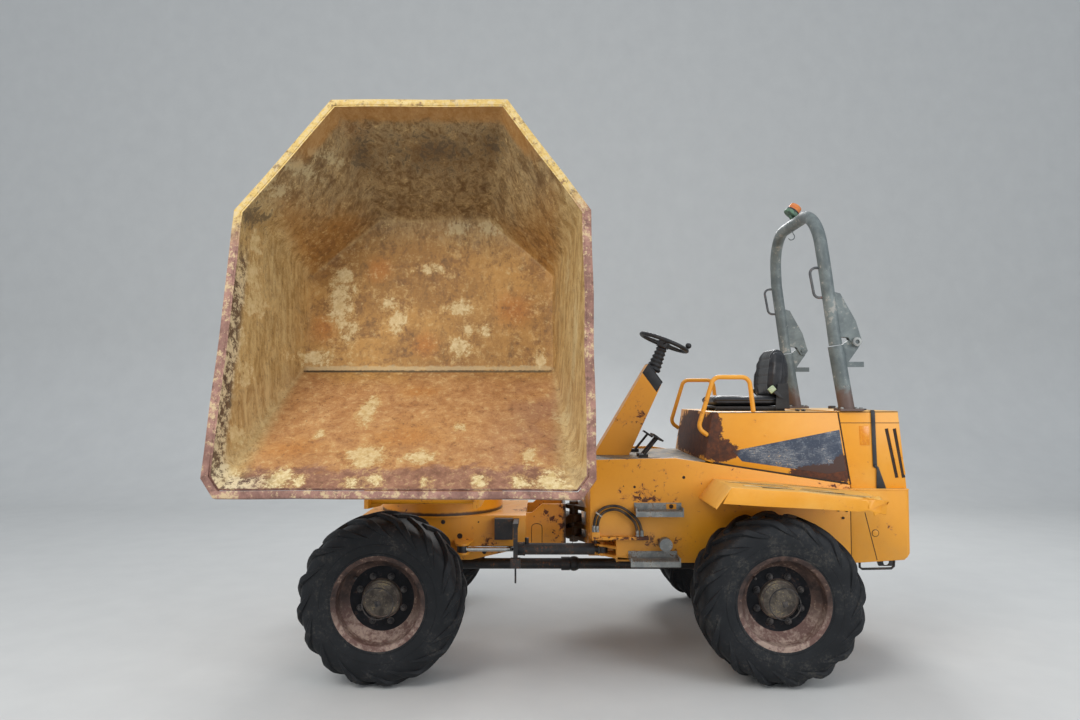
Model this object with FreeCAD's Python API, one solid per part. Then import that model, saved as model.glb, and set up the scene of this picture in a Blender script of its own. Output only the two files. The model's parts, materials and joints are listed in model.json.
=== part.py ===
# Site dumper with a swivel skip, articulated in the middle, in millimetres.
# +X is forward, +Y is the driver's left and +Z is up. The origin lies on the ground
# under the articulation pin, half way between the axles.
import FreeCAD, Part
import math
import os

os.makedirs("parts", exist_ok=True)

V = FreeCAD.Vector

# Driving dimensions: running gear
wheelbase = 2380.0
track = 1775.0
tyre_d = 1000.0
tyre_w = 405.0
rim_d = 508.0
axle_x = wheelbase / 2
axle_z = tyre_d / 2

# Clearances
bearing_gap = 0.5
seat_gap = 0.3
joint_gap = 5.0

# Driving dimensions: chassis
plate_t = 20.0
sheet_t = 8.0
cover_t = 12.0
side_y = track / 2 - tyre_w / 2 - 85.0
cover_y = side_y - 40.0
beam_y = side_y - 240.0
frame_front_x = -83.0
belly_z = 640.0
foot_z = 1290.0
front_frame_y = side_y - 220.0
neck_y = front_frame_y - 120.0

# Driving dimensions: swivel and skip
swivel_x = 950.0
swivel_angle = 90.0
ring_r = 430.0
ring_w = 60.0
ring_z = tyre_d - 15.0
race_h = 27.0
tip_angle = 75.9
skip_t = 8.0
skip_depth = 800.0
skip_floor_z = ring_z + 195.0
skip_lip_u = 1180.0
rim_w = 50.0
rim_h = 42.0
tip_pin_u = 969.0
tip_pin_z = ring_z + 237.0
tip_pin_r = 25.0


def box(x0, x1, y0, y1, z0, z1):
    """A box between two corners."""
    low = V(min(x0, x1), min(y0, y1), min(z0, z1))
    return Part.makeBox(abs(x1 - x0), abs(y1 - y0), abs(z1 - z0), low)


def rod(start, end, radius):
    """A round bar between two points."""
    a = V(*start)
    b = V(*end)
    return Part.makeCylinder(radius, (b - a).Length, a, b - a)


def prism_y(outline, y0, y1):
    """An outline of (x, z) points made into a plate between two y values."""
    points = [V(x, y0, z) for x, z in outline]
    face = Part.Face(Part.makePolygon(points + points[:1]))
    return face.extrude(V(0, y1 - y0, 0))


def prism_z(outline, z0, z1):
    """An outline of (x, y) points made into a plate between two heights."""
    points = [V(x, y, z0) for x, y in outline]
    face = Part.Face(Part.makePolygon(points + points[:1]))
    return face.extrude(V(0, 0, z1 - z0))


def disc(cx, cy, r, z0, z1):
    """An upright round plate or plug."""
    return Part.makeCylinder(r, z1 - z0, V(cx, cy, z0))


def ring(cx, cy, r_out, r_in, z0, z1):
    return disc(cx, cy, r_out, z0, z1).cut(disc(cx, cy, r_in, z0, z1))


def mirrored(shape):
    """The same shape on the other side of the machine."""
    return shape.mirror(V(0, 0, 0), V(0, 1, 0))


def both(shape):
    return [shape, mirrored(shape)]


def join(shapes):
    """One solid from touching or overlapping shapes."""
    first = shapes[0]
    if len(shapes) == 1:
        return first
    return first.fuse(shapes[1:]).removeSplitter()


def bent_bar(points, radius, bend=None):
    """A bar along straight runs and tangent arcs, of one radius or as wide as the runs allow."""
    corners = [V(*p) for p in points]
    edges = []
    radii = []
    start = corners[0]
    for before, corner, after in zip(corners, corners[1:], corners[2:]):
        into = (corner - before).normalize()
        out = (after - corner).normalize()
        turn = into.getAngle(out)
        cut = 0.45 * min((corner - before).Length, (after - corner).Length)
        if bend:
            cut = bend * math.tan(turn / 2)
        arc_start = corner - into * cut
        arc_end = corner + out * cut
        arc_r = cut / math.tan(turn / 2)
        radii.append(round(arc_r))
        middle = corner + (out - into).normalize() * (arc_r / math.cos(turn / 2) - arc_r)
        edges.append(Part.LineSegment(start, arc_start).toShape())
        edges.append(Part.Arc(arc_start, middle, arc_end).toShape())
        start = arc_end
    edges.append(Part.LineSegment(start, corners[-1]).toShape())
    if not bend:
        print("arc radii", radii)
    path = Part.Wire(edges)
    section = Part.Wire(Part.Circle(corners[0], corners[1] - corners[0], radius).toShape())
    return path.makePipeShell([section], True, True)


def export(name, shapes):
    """Write one node, a solid or several solids that don't touch."""
    whole = shapes[0] if len(shapes) == 1 else Part.makeCompound(shapes)
    whole.exportStep("parts/%s.step" % name)
    print(name, "solids", len(whole.Solids), "valid", whole.isValid(),
          "litres", round(whole.Volume / 1e6, 1))


# Rear frame: two deep side plates, bulkhead, belly and beams, carrying everything behind the pin
deck_front = (frame_front_x, 1297.0)
deck_rear = (-636.0, 1310.0)
deck_tail = (-1770.0, 1137.0)
arch_bottom_z = 636.0
arch_top_z = 760.0

side_outline = [
    deck_front, deck_rear, deck_tail,
    (-1770.0, arch_bottom_z), (-1700.0, arch_bottom_z), (-1480.0, arch_top_z),
    (-900.0, arch_top_z), (-773.0, arch_bottom_z), (-663.0, arch_bottom_z),
    (frame_front_x, 685.0),
]

# Steering ram: rear pin on the rear frame, front eye on the front frame
ram_y = side_y - 100.0
ram_rear_x = -170.0
ram_front_x = 757.0
ram_z = 705.0
ram_r = 38.0
ram_rod_r = 18.0
ram_eye_r = 34.0
ram_eye_h = 44.0
ram_lug_t = 14.0
ram_pin_r = 16.0
pocket_x = -250.0
pocket_y = side_y - 195.0
pocket_z = 790.0

# Steering hoses: two arches side by side, from a block on a bracket and back down to it
hose_r = 9.0
hose_bracket = (-455.0, -92.0)
hose_bracket_z = (790.0, 808.0)
hose_bracket_w = 46.0
hose_block = (-142.0, -92.0)
hose_block_z = 838.0
hose_points = {
    "hose_outer": [(-105, 626, 838), (-105, 626, 925), (-158, 632, 997), (-262, 638, 1012),
                   (-351, 636, 956), (-414, 626, 880), (-414, 626, 808)],
    "hose_inner": [(-127, 626, 838), (-127, 626, 913), (-172, 632, 974), (-258, 638, 989),
                   (-334, 636, 940), (-385, 626, 880), (-385, 626, 808)],
}

# Articulation: three stacked lugs on the rear frame straddle the front frame's two
pin_r = 32.0
yoke_r = 58.0
rear_lugs = [(685.0, 715.0), (775.0, 805.0), (900.0, 930.0)]
front_lugs = [(715.0 + bearing_gap, 775.0 - bearing_gap), (805.0 + bearing_gap, 860.0)]


def yoke_lug(x_root, half_root, z0, z1):
    """A flat lug from a frame to the articulation pin, rounded at its tip."""
    sign = 1 if x_root > 0 else -1
    web = prism_z([(x_root, half_root), (0, yoke_r), (0, -yoke_r), (x_root, -half_root)][::sign], z0, z1)
    return web.fuse(disc(0, 0, yoke_r, z0, z1)).removeSplitter()


def rear_frame():
    side = prism_y(side_outline, side_y - plate_t, side_y)
    inner = side_y - plate_t
    parts = both(side)
    parts.append(box(frame_front_x - plate_t, frame_front_x, -inner, inner, belly_z, foot_z - sheet_t))
    parts.append(box(-760, frame_front_x, -inner, inner, belly_z, belly_z + 12))
    parts.append(box(-1500, -880, -inner, inner, arch_top_z, arch_top_z + 12))
    parts.append(box(-1770, -1758, -inner, inner, arch_bottom_z, 1120))
    for beam in both(box(-1758, frame_front_x - plate_t, beam_y - 10, beam_y + 10, belly_z, 900)):
        parts.append(beam)
    frame = join(parts)
    pocket = box(pocket_x, frame_front_x + 1, pocket_y, side_y + 1, belly_z - 1, pocket_z)
    frame = frame.cut(pocket)
    roof = box(pocket_x, frame_front_x, pocket_y, side_y, pocket_z, pocket_z + 10)
    wall = box(pocket_x, frame_front_x, pocket_y - 10, pocket_y, belly_z, pocket_z + 10)
    back = box(pocket_x - 10, pocket_x, pocket_y - 10, side_y, belly_z, pocket_z + 10)
    lugs = []
    gap = ram_eye_h / 2 + bearing_gap
    for z0 in (ram_z + gap, ram_z - gap - ram_lug_t):
        lug = prism_z([(pocket_x, ram_y - 60), (ram_rear_x, ram_y - 45), (ram_rear_x, ram_y + 45),
                       (pocket_x, side_y + 40)], z0, z0 + ram_lug_t)
        lugs.append(lug.fuse(disc(ram_rear_x, ram_y, 45, z0, z0 + ram_lug_t)))
    pin = disc(ram_rear_x, ram_y, ram_pin_r, ram_z - gap - ram_lug_t - 8, ram_z + gap + ram_lug_t + 8)
    yokes = [yoke_lug(frame_front_x - 1, 200, z0, z1) for z0, z1 in rear_lugs]
    king_pin = disc(0, 0, pin_r, rear_lugs[0][0] - 25, rear_lugs[-1][1] + 20)
    outside = side_y + hose_bracket_w
    bracket = box(*hose_bracket, side_y - 1, outside, *hose_bracket_z)
    block = box(*hose_block, side_y - 1, outside, hose_bracket_z[0], hose_block_z)
    return join([frame, roof, wall, back] + lugs + [pin] + yokes + [king_pin, bracket, block])


def hose(points):
    """A hose from the block's top to the bracket's, square on both."""
    return bent_bar(points, hose_r)


def footplate():
    half = side_y - plate_t - seat_gap
    return box(-838, frame_front_x - seat_gap, -half, half, foot_z - sheet_t + seat_gap, foot_z)


# Axle: centre casing, tubes, hub carriers and spindles; its brackets reach the frame above
carrier_r = 120.0
spindle_r = 40.0
hub_r = 115.0
hub_inner_y = track / 2 - 27.5
hub_outer_y = track / 2 + 89.5


def axle(x, bracket_y, bracket_top):
    end = hub_inner_y - bearing_gap
    parts = [rod((x, -end, axle_z), (x, end, axle_z), 65)]
    parts.append(rod((x, -130, axle_z), (x, 130, axle_z), 140))
    nose = -1 if x > 0 else 1
    parts.append(rod((x, 0, axle_z), (x + nose * diff_nose, 0, axle_z), 70))
    for s in (-1, 1):
        parts.append(rod((x, s * 700, axle_z), (x, s * end, axle_z), carrier_r))
        parts.append(rod((x, s * end, axle_z), (x, s * (hub_outer_y - 30), axle_z), spindle_r))
        parts.append(box(x - 75, x + 75, s * (bracket_y - 40), s * (bracket_y + 40),
                         axle_z, bracket_top))
    return join(parts)


# Propshafts meet under the pin: the rear one ends in a ball there, the front one just off it
shaft_r = 38.0
shaft_ball_r = 52.0
diff_nose = 230.0


def rear_propshaft():
    shaft = rod((-axle_x + diff_nose + seat_gap, 0, axle_z), (0, 0, axle_z), shaft_r)
    return join([shaft, Part.makeSphere(shaft_ball_r, V(0, 0, axle_z))])


def front_propshaft():
    """Its cupped end keeps a running gap to the ball at every steering angle."""
    shaft = rod((0, 0, axle_z), (axle_x - diff_nose - seat_gap, 0, axle_z), shaft_r)
    cup = rod((0, 0, axle_z), (shaft_ball_r + 40, 0, axle_z), shaft_r + 10)
    around_ball = Part.makeSphere(shaft_ball_r + joint_gap, V(0, 0, axle_z))
    behind = box(-100, 30, -100, 100, axle_z - 100, axle_z + 100)
    return join([shaft, cup]).cut(around_ball).cut(behind)


# Engine, under its cover
def engine_block():
    half = beam_y - 120
    return box(-1650, -1000, -half, half, arch_top_z + 12 + seat_gap, 1320)


# Cover under the seat, its foot along the sloping deck edge
cover_top_z = 1608.0
cover_split_top = -1712.0
cover_split_foot = -1787.0
deck_slope = (deck_tail[1] - deck_rear[1]) / (deck_tail[0] - deck_rear[0])


def deck_z(x):
    """Height of the side plate's sloping top edge."""
    return deck_rear[1] + deck_slope * (x - deck_rear[0])


def hollow(outline, half_y, wall, bottom_open):
    """A folded cover: the outline between two sides, with a wall all round but its open foot."""
    outer = prism_y(outline, -half_y, half_y)
    cx = sum(p[0] for p in outline) / len(outline)
    inner_outline = []
    for x, z in outline:
        dx = wall if x < cx else -wall
        dz = -wall if (x, z) not in bottom_open else -2 * wall
        inner_outline.append((x + dx, z + dz))
    return outer.cut(prism_y(inner_outline, -half_y + wall, half_y - wall))


cover_front_top = -890.0
cover_front_foot = -838.0
cover_foot_rear = (cover_split_foot, deck_z(cover_split_foot) + seat_gap)
cover_foot_mid = (-900.0, deck_z(-900.0) + seat_gap)
cover_foot_front = (cover_front_foot, foot_z + seat_gap)
cover_outline = [(cover_front_top, cover_top_z), (cover_split_top, cover_top_z), cover_foot_rear,
                 cover_foot_mid, cover_foot_front]


def cover_front_x(z):
    """The cover's leaning front face at a height."""
    share = (cover_top_z - z) / (cover_top_z - foot_z)
    return cover_front_top + share * (cover_front_foot - cover_front_top)


def engine_cover():
    return hollow(cover_outline, cover_y, cover_t, [cover_foot_rear, cover_foot_mid, cover_foot_front])


def cover_body(margin):
    """The cover as a full body, grown forward by a margin, to trim what ends on it."""
    grown = [(x + margin if x > -1000 else x, z) for x, z in cover_outline]
    return prism_y(grown, -cover_y, cover_y)


# Tail: an upper cover over the radiator and a solid counterweight below it
tail_rear_x = -2160.0
tail_top_rear_x = -2109.0
tail_split_z = 1110.0
tail_foot = [(-2115.0, 655.0), (-1812.0, arch_bottom_z)]


def tail_bottom_z(x):
    """Height of the counterweight's underside."""
    (x0, z0), (x1, z1) = tail_foot
    return z0 + (z1 - z0) * (x - x0) / (x1 - x0)


def tail_cover():
    foot_front = (cover_split_foot - 6, tail_split_z + seat_gap)
    foot_rear = (tail_rear_x + 4, tail_split_z + seat_gap)
    outline = [(cover_split_top - 4, cover_top_z + 7), (tail_top_rear_x, cover_top_z + 7),
               foot_rear, foot_front]
    return hollow(outline, cover_y, cover_t, [foot_front, foot_rear])


def counterweight():
    outline = [(-1770.0 - seat_gap, tail_split_z), (tail_rear_x, tail_split_z), (tail_rear_x, 707.0)]
    outline += tail_foot + [(-1770.0 - seat_gap, arch_bottom_z)]
    block = prism_y(outline, -side_y, side_y)
    edges = [e for e in block.Edges
             if abs(e.BoundBox.XMin - tail_rear_x) < 1 and e.BoundBox.ZLength > 300]
    return block.makeFillet(35, edges)


# Fenders: a folded sheet from the side plate out over the tyre
fender_out_y = track / 2 + tyre_w / 2
fender_path = [(x - axle_x, tyre_d + over)
               for x, over in ((404.0, 56.0), (306.0, 176.0), (-110.0, 150.0), (-610.0, 104.0))]
fender_lip = 95.0


def fender():
    front, bend, middle, rear = fender_path
    top = fender_path + [(x, z - sheet_t) for x, z in fender_path[:0:-1]]
    top.append((front[0] - 6, front[1] - sheet_t))
    roof = prism_y(top, side_y + seat_gap, fender_out_y)
    lip = [bend, middle, rear, (rear[0] + 20, rear[1] - fender_lip + 25),
           (middle[0], middle[1] - fender_lip), (bend[0] + 54, bend[1] - fender_lip)]
    skirt = prism_y(lip, fender_out_y - sheet_t, fender_out_y)
    return join([roof, skirt])


# Steps: pressed treads on the side plate, one above the other
def steps():
    shapes = []
    start = side_y + seat_gap
    # columns: rear and front end from the axle, depth, underside, top of the back plate
    for rear, front, depth, z0, z1 in [(517, 822, 100, 945, 1022), (547, 861, 150, 640, 712)]:
        x0 = rear - axle_x
        x1 = front - axle_x
        tread = box(x0, x1, start, start + depth, z0 + 25, z0 + 33)
        wall = box(x0, x1, start, start + sheet_t, z0 + 25, z1)
        nose = box(x0, x1, start + depth - sheet_t, start + depth, z0, z0 + 33)
        ends = [box(x, x + sheet_t, start, start + depth, z0 + 25, z0 + 55) for x in (x0, x1 - sheet_t)]
        shapes.append(join([tread, wall, nose] + ends))
    boss_x = 625.0 - axle_x
    boss = rod((boss_x, start, 760), (boss_x, start + 60, 760), 42)
    shapes.append(boss)
    return [s for shape in shapes for s in both(shape)]


# Driving place: column, wheel, pedals, seat and handrails
column_y = 90.0
column_outline = [(-143.0, 1290.0), (-394.0, 1290.0), (-634.0, 1806.0), (-534.0, 1943.0)]
wheel_hub = (-658.0, 2086.0)
wheel_r = 190.0
wheel_tilt = 22.0
hub_low = 20.0
stem_length = 230.0
wheel_axis = V(-math.sin(math.radians(wheel_tilt)), 0, math.cos(math.radians(wheel_tilt)))
wheel_centre = V(wheel_hub[0], 0, wheel_hub[1])


def steering_column():
    lifted = [(x, max(z, foot_z + seat_gap)) for x, z in column_outline]
    body = prism_y(lifted, -column_y, column_y)
    stem_top = wheel_centre - wheel_axis * (hub_low + seat_gap)
    stem = Part.makeCylinder(28, stem_length, stem_top - wheel_axis * stem_length, wheel_axis)
    return join([body, stem])


def steering_wheel():
    centre = wheel_centre
    rim = Part.makeTorus(wheel_r - 15, 15, centre + wheel_axis * 20, wheel_axis)
    hub = Part.makeCylinder(45, hub_low + 22, centre - wheel_axis * hub_low, wheel_axis)
    parts = [rim, hub]
    for turn in (90, 210, 330):
        spoke = rod((0, 0, 12), (wheel_r - 15, 0, 20), 9)
        spoke.rotate(V(0, 0, 0), V(0, 0, 1), turn)
        spoke.rotate(V(0, 0, 0), V(0, 1, 0), -wheel_tilt)
        spoke.translate(centre)
        parts.append(spoke)
    return join(parts)


def pedals():
    shapes = []
    foot_x = -470
    pad_x = -572
    pad_z = foot_z + 135
    for y in (-230, 180, 290):
        pad = box(pad_x - 40, pad_x + 40, y - 38, y + 38, pad_z - 6, pad_z + 6)
        pad.rotate(V(pad_x, y, pad_z), V(0, 1, 0), -35)
        arm = rod((pad_x, y, pad_z), (foot_x, y, foot_z + 12), 9)
        foot = box(foot_x - 30, foot_x + 30, y - 30, y + 30, foot_z + seat_gap, foot_z + 22)
        shapes.append(join([pad, arm, foot]))
    return shapes


seat_z = 1640.0
seat_y = 240.0
seat_arm_t = 8.0


def seat_base():
    """Slide rails, a pan and two side arms that hold the back."""
    rails = both(box(-1480, -1000, 150, 200, cover_top_z + seat_gap, seat_z))
    arm_y = seat_y + seat_gap
    pan = box(-1500, -990, -arm_y, arm_y, seat_z - 15, seat_z)
    arm = prism_y([(-1500.0, seat_z - 15), (-1400.0, seat_z - 15), (-1420.0, 1800.0), (-1490.0, 1800.0)],
                  arm_y, arm_y + seat_arm_t)
    return join([pan] + rails + both(arm))


def seat_cushion():
    section = [(-962, 60), (-975, 20), (-1010, seat_gap), (-1490, seat_gap), (-1500, 50), (-1400, 65),
               (-1010, 82)]
    return prism_y([(x, seat_z + over) for x, over in section], -seat_y, seat_y)


def seat_back():
    section = [(-1385, 72), (-1505, 57), (-1535, 290), (-1490, 420), (-1430, 431), (-1345, 340),
               (-1330, 220)]
    return prism_y([(x, seat_z + over) for x, over in section], -seat_y, seat_y)


def handrails():
    y = cover_y - 20
    foot_at = cover_front_x(1455) + 2
    points = [(foot_at, y, 1455), (-800, y, 1500), (-905, y, 1838), (-1140, y, 1838),
              (-1166, y, cover_top_z + seat_gap)]
    rail = bent_bar(points, 15, 55).cut(cover_body(seat_gap))
    return both(rail)


# Roll-over frame: fixed posts, and a hoop that folds back on two pins behind them
post_y = cover_y - 40.0
post_foot = (-1790.0, cover_top_z + 7 + seat_gap)
post_split = (-1722.0, 2045.0)
hoop_bend = (-1654.0, 2601.0)
hoop_top = (-1625.0, 2975.0)
post_r = 50.0
hoop_r = 42.0
hoop_bend_r = 300.0
fold_pin = (-1851.0, 2071.0)
fold_pin_r = 14.0
fold_plate_t = 12.0
fold_lug_t = 24.0


def from_fold_pin(outline):
    """An outline given from the folding pin, placed in the machine."""
    return [(fold_pin[0] + along, fold_pin[1] + over) for along, over in outline]


def rops_posts():
    shapes = []
    for s in (-1, 1):
        y = s * post_y
        post = rod((post_foot[0], y, post_foot[1]), (post_split[0], y, post_split[1]), post_r)
        flange = box(-1880, -1725, y - 60, y + 60, post_foot[1], post_foot[1] + 14)
        lug = prism_y(from_fold_pin([(129, -111), (99, -26), (10, 39), (-35, 4), (-20, -36), (91, -191)]),
                      y - fold_lug_t / 2, y + fold_lug_t / 2)
        stop = prism_y(from_fold_pin([(91, -131), (-54, -131), (-54, -166), (91, -166)]), y - 8, y + 8)
        reach = fold_lug_t / 2 + bearing_gap + fold_plate_t + 10
        pin = rod((fold_pin[0], y - reach, fold_pin[1]), (fold_pin[0], y + reach, fold_pin[1]), fold_pin_r)
        base = box(-1900, -1700, y - 80, y + 80, post_foot[1] - 20, post_foot[1])
        shapes.append(join([post.cut(base), flange, lug, stop, pin]))
    return shapes


def hoop():
    start = (post_split[0], post_split[1] + 6)
    y = post_y
    points = [(start[0], -y, start[1]), (hoop_bend[0], -y, hoop_bend[1]), (hoop_top[0], -y + 60, hoop_top[1]),
              (hoop_top[0], y - 60, hoop_top[1]), (hoop_bend[0], y, hoop_bend[1]), (start[0], y, start[1])]
    bar = bent_bar(points, hoop_r, hoop_bend_r)
    parts = [bar]
    for s in (-1, 1):
        for side in (-1, 1):
            inner = s * post_y + side * (fold_lug_t / 2 + bearing_gap)
            outer = inner + side * fold_plate_t
            outline = [(161, 339), (101, 323), (1, 139), (-39, -1), (-17, -31), (16, -31), (51, 29),
                       (136, 39)]
            plate = prism_y(from_fold_pin(outline), inner, outer)
            hole = rod((fold_pin[0], inner - 20, fold_pin[1]), (fold_pin[0], inner + 20, fold_pin[1]),
                       fold_pin_r + bearing_gap)
            parts.append(plate.cut(hole))
    return join(parts)


def grab_handles():
    shapes = []
    for s in (-1, 1):
        y = s * post_y
        points = [(-1660, y, 2568), (-1553, y, 2568), (-1588, y, 2368), (-1680, y, 2368)]
        bar = bent_bar(points, 9, 38)
        leg = rod((post_split[0], y, post_split[1]), (hoop_bend[0], y, hoop_bend[1]), hoop_r + seat_gap)
        upper = rod((hoop_bend[0], y, hoop_bend[1]), (hoop_bend[0] + 2, y, hoop_bend[1] + 60),
                    hoop_r + seat_gap)
        bar = bar.cut(leg).cut(upper)
        shapes.append(max(bar.Solids, key=lambda solid: solid.Volume))
    return shapes


def beacon():
    top = hoop_top[1] + hoop_r
    stem = rod((hoop_top[0], 0, top - 3), (hoop_top[0], 0, top + 32), 16)
    stem = stem.cut(rod((hoop_top[0], -60, hoop_top[1]), (hoop_top[0], 60, hoop_top[1]),
                        hoop_r + seat_gap))
    base = disc(hoop_top[0], 0, 55, top + 20, top + 55)
    lens = disc(hoop_top[0] - 15, 0, 48, top + 55, top + 105)
    return join([stem, base, lens])


# Rear hitch: a jaw of two plates with a hole for a tow pin, and two lashing plates under the tail
jaw_z = 745.0
jaw_gap = 70.0
jaw_t = 20.0
jaw_hole_r = 16.0
jaw_x = tail_rear_x - 60.0
lash_x = -2050.0
lash_y = side_y - 130.0
lash_hole_r = 22.0


def rear_hitch():
    face = tail_rear_x - seat_gap
    plate = box(face - 12, face, -90, 90, jaw_z - jaw_gap / 2 - 30, jaw_z + jaw_gap / 2 + 30)
    parts = [plate]
    for z0 in (jaw_z + jaw_gap / 2, jaw_z - jaw_gap / 2 - jaw_t):
        ear = prism_z([(face - 12, -70), (face - 12, 70), (jaw_x, 45), (jaw_x, -45)], z0, z0 + jaw_t)
        parts.append(ear.fuse(disc(jaw_x, 0, 45, z0, z0 + jaw_t)))
    jaw = join(parts)
    return jaw.cut(disc(jaw_x, 0, jaw_hole_r, jaw_z - 100, jaw_z + 100))


def lashing_plates():
    foot = tail_bottom_z(lash_x) - seat_gap
    outline = [(lash_x + 70, tail_bottom_z(lash_x + 70) - seat_gap), (lash_x - 50, foot + 2),
               (lash_x - 45, 590.0), (lash_x + 50, 590.0)]
    plate = prism_y(outline, lash_y - 8, lash_y + 8)
    hole = rod((lash_x, lash_y - 20, 615), (lash_x, lash_y + 20, 615), lash_hole_r)
    return both(plate.cut(hole))


# Front frame: a narrow neck at the pin, then plates under the slew ring and around the axle
neck_rear_x = 65.0
neck_top_z = 965.0
neck_bottom_z = 690.0
main_front_x = 1450.0
main_top_z = 905.0
main_bottom_z = 607.0


def front_frame():
    neck = [(neck_rear_x, neck_bottom_z), (neck_rear_x, neck_top_z), (230.0, neck_top_z),
            (300.0, main_top_z), (360.0, main_top_z), (360.0, neck_bottom_z)]
    main = [(340.0, neck_bottom_z), (340.0, main_top_z), (main_front_x, main_top_z),
            (main_front_x, 700.0), (1330.0, main_bottom_z), (710.0, main_bottom_z)]
    parts = both(prism_y(neck, neck_y - plate_t, neck_y))
    parts += both(prism_y(main, front_frame_y - plate_t, front_frame_y))
    parts.append(box(340, 360, -front_frame_y, front_frame_y, neck_bottom_z, main_top_z))
    parts.append(box(main_front_x - 20, main_front_x, -front_frame_y, front_frame_y, 700, main_top_z))
    parts.append(box(neck_rear_x, neck_rear_x + 20, -neck_y, neck_y, neck_bottom_z, neck_top_z))
    parts.append(box(340, 1000, -front_frame_y, front_frame_y, neck_bottom_z, neck_bottom_z + 12))
    deck = box(340, main_front_x, -front_frame_y, front_frame_y, main_top_z - 12, main_top_z)
    deck = deck.fuse(disc(swivel_x, 0, ring_r, main_top_z - 12, main_top_z))
    deck = deck.cut(disc(swivel_x, 0, ring_r - ring_w - 20, main_top_z - 20, main_top_z + 1))
    parts.append(deck)
    for z0, z1 in front_lugs:
        lug = yoke_lug(neck_rear_x + 1, 150, z0, z1)
        parts.append(lug.cut(disc(0, 0, pin_r + bearing_gap, z0 - 1, z1 + 1)))
    gap = ram_eye_h / 2 + bearing_gap
    for z0 in (ram_z + gap, ram_z - gap - ram_lug_t):
        lug = prism_z([(690, front_frame_y), (825, front_frame_y), (800, ram_y), (714, ram_y)],
                      z0, z0 + ram_lug_t)
        parts.append(lug.fuse(disc(ram_front_x, ram_y, 43, z0, z0 + ram_lug_t)))
    return join(parts)


def slew_ring():
    lower = ring(swivel_x, 0, ring_r, ring_r - ring_w - 10, main_top_z + seat_gap, ring_z)
    race = ring(swivel_x, 0, ring_r, ring_r - ring_w + 10, ring_z, ring_z + race_h)
    return join([lower, race])


lock_bar_x = 402.0
lock_bar_z = (600.0, 860.0)


def lock_bar():
    """A bar hung from a plate, outside the steering ram, with a block and a tail at its foot."""
    y = front_frame_y + seat_gap
    out = ram_y + ram_r + 22
    foot, top = lock_bar_z
    plate = box(lock_bar_x - 17, lock_bar_x + 17, y, out + 40, top, top + 25)
    bar = box(lock_bar_x - 14, lock_bar_x + 14, out, out + 40, foot + 40, top)
    block = box(lock_bar_x - 32, lock_bar_x + 32, out - 5, out + 48, foot, foot + 60)
    tail = rod((lock_bar_x, out + 20, foot), (lock_bar_x, out + 20, foot - 100), 6)
    return join([plate, bar, block, tail])


def valve_box():
    """A small grease and valve box on the left frame plate, just ahead of the lock bar."""
    y = front_frame_y + seat_gap
    top = main_top_z - 15
    rear = lock_bar_x + 24
    return box(rear, rear + 122, y, y + 60, top - 138, top)


# Steering ram
ram_length = ram_front_x - ram_rear_x
ram_barrel_end = 575.0
ram_rod_tail = 330.0


def steer_barrel():
    eye = disc(ram_rear_x, ram_y, ram_eye_r, ram_z - ram_eye_h / 2, ram_z + ram_eye_h / 2)
    body = rod((ram_rear_x + 53, ram_y, ram_z), (ram_rear_x + ram_barrel_end, ram_y, ram_z), ram_r)
    neck = rod((ram_rear_x, ram_y, ram_z), (ram_rear_x + 60, ram_y, ram_z), 20)
    gland = rod((ram_rear_x + ram_barrel_end - 55, ram_y, ram_z),
                (ram_rear_x + ram_barrel_end, ram_y, ram_z), ram_r + 5)
    whole = join([eye, body, neck, gland])
    bore = rod((ram_rear_x + 100, ram_y, ram_z), (ram_rear_x + ram_barrel_end + 1, ram_y, ram_z),
               ram_rod_r + bearing_gap)
    hole = disc(ram_rear_x, ram_y, ram_pin_r + bearing_gap, ram_z - ram_eye_h, ram_z + ram_eye_h)
    return whole.cut(bore).cut(hole)


def steer_rod():
    eye = disc(ram_front_x, ram_y, ram_eye_r, ram_z - ram_eye_h / 2, ram_z + ram_eye_h / 2)
    bar = rod((ram_rear_x + ram_rod_tail, ram_y, ram_z), (ram_front_x, ram_y, ram_z), ram_rod_r)
    hole = disc(ram_front_x, ram_y, ram_pin_r + bearing_gap, ram_z - ram_eye_h, ram_z + ram_eye_h)
    return join([eye, bar]).cut(hole)


# Everything on the turntable is drawn facing forward, with u along X and v along Y about
# the swivel centre, and is then swung to the left as the machine stands.
def on_turntable(shape):
    turned = shape.copy()
    turned.rotate(V(0, 0, 0), V(0, 0, 1), swivel_angle)
    turned.translate(V(swivel_x, 0, 0))
    return turned


def on_skip(shape):
    """A skip piece drawn level is tipped about its pins, then swung with the turntable."""
    tipped = shape.copy()
    tipped.rotate(V(tip_pin_u, 0, tip_pin_z), V(0, 1, 0), tip_angle)
    return on_turntable(tipped)


cheek_y = 335.0
cheek_t = 25.0
base_z = ring_z + race_h + bearing_gap
base_t = 15.0
well_u = -200.0
well_z = ring_z - 105.0
lug_gap = 0.5
tip_eye_w = 70.0
base_eye_w = 102.0
tip_lug_t = 18.0
cheek_z = ring_z + 165.0
lug_top_z = ring_z + 135.0
cross_tube_z = ring_z + 120.0
slot_half = 115.0


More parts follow.
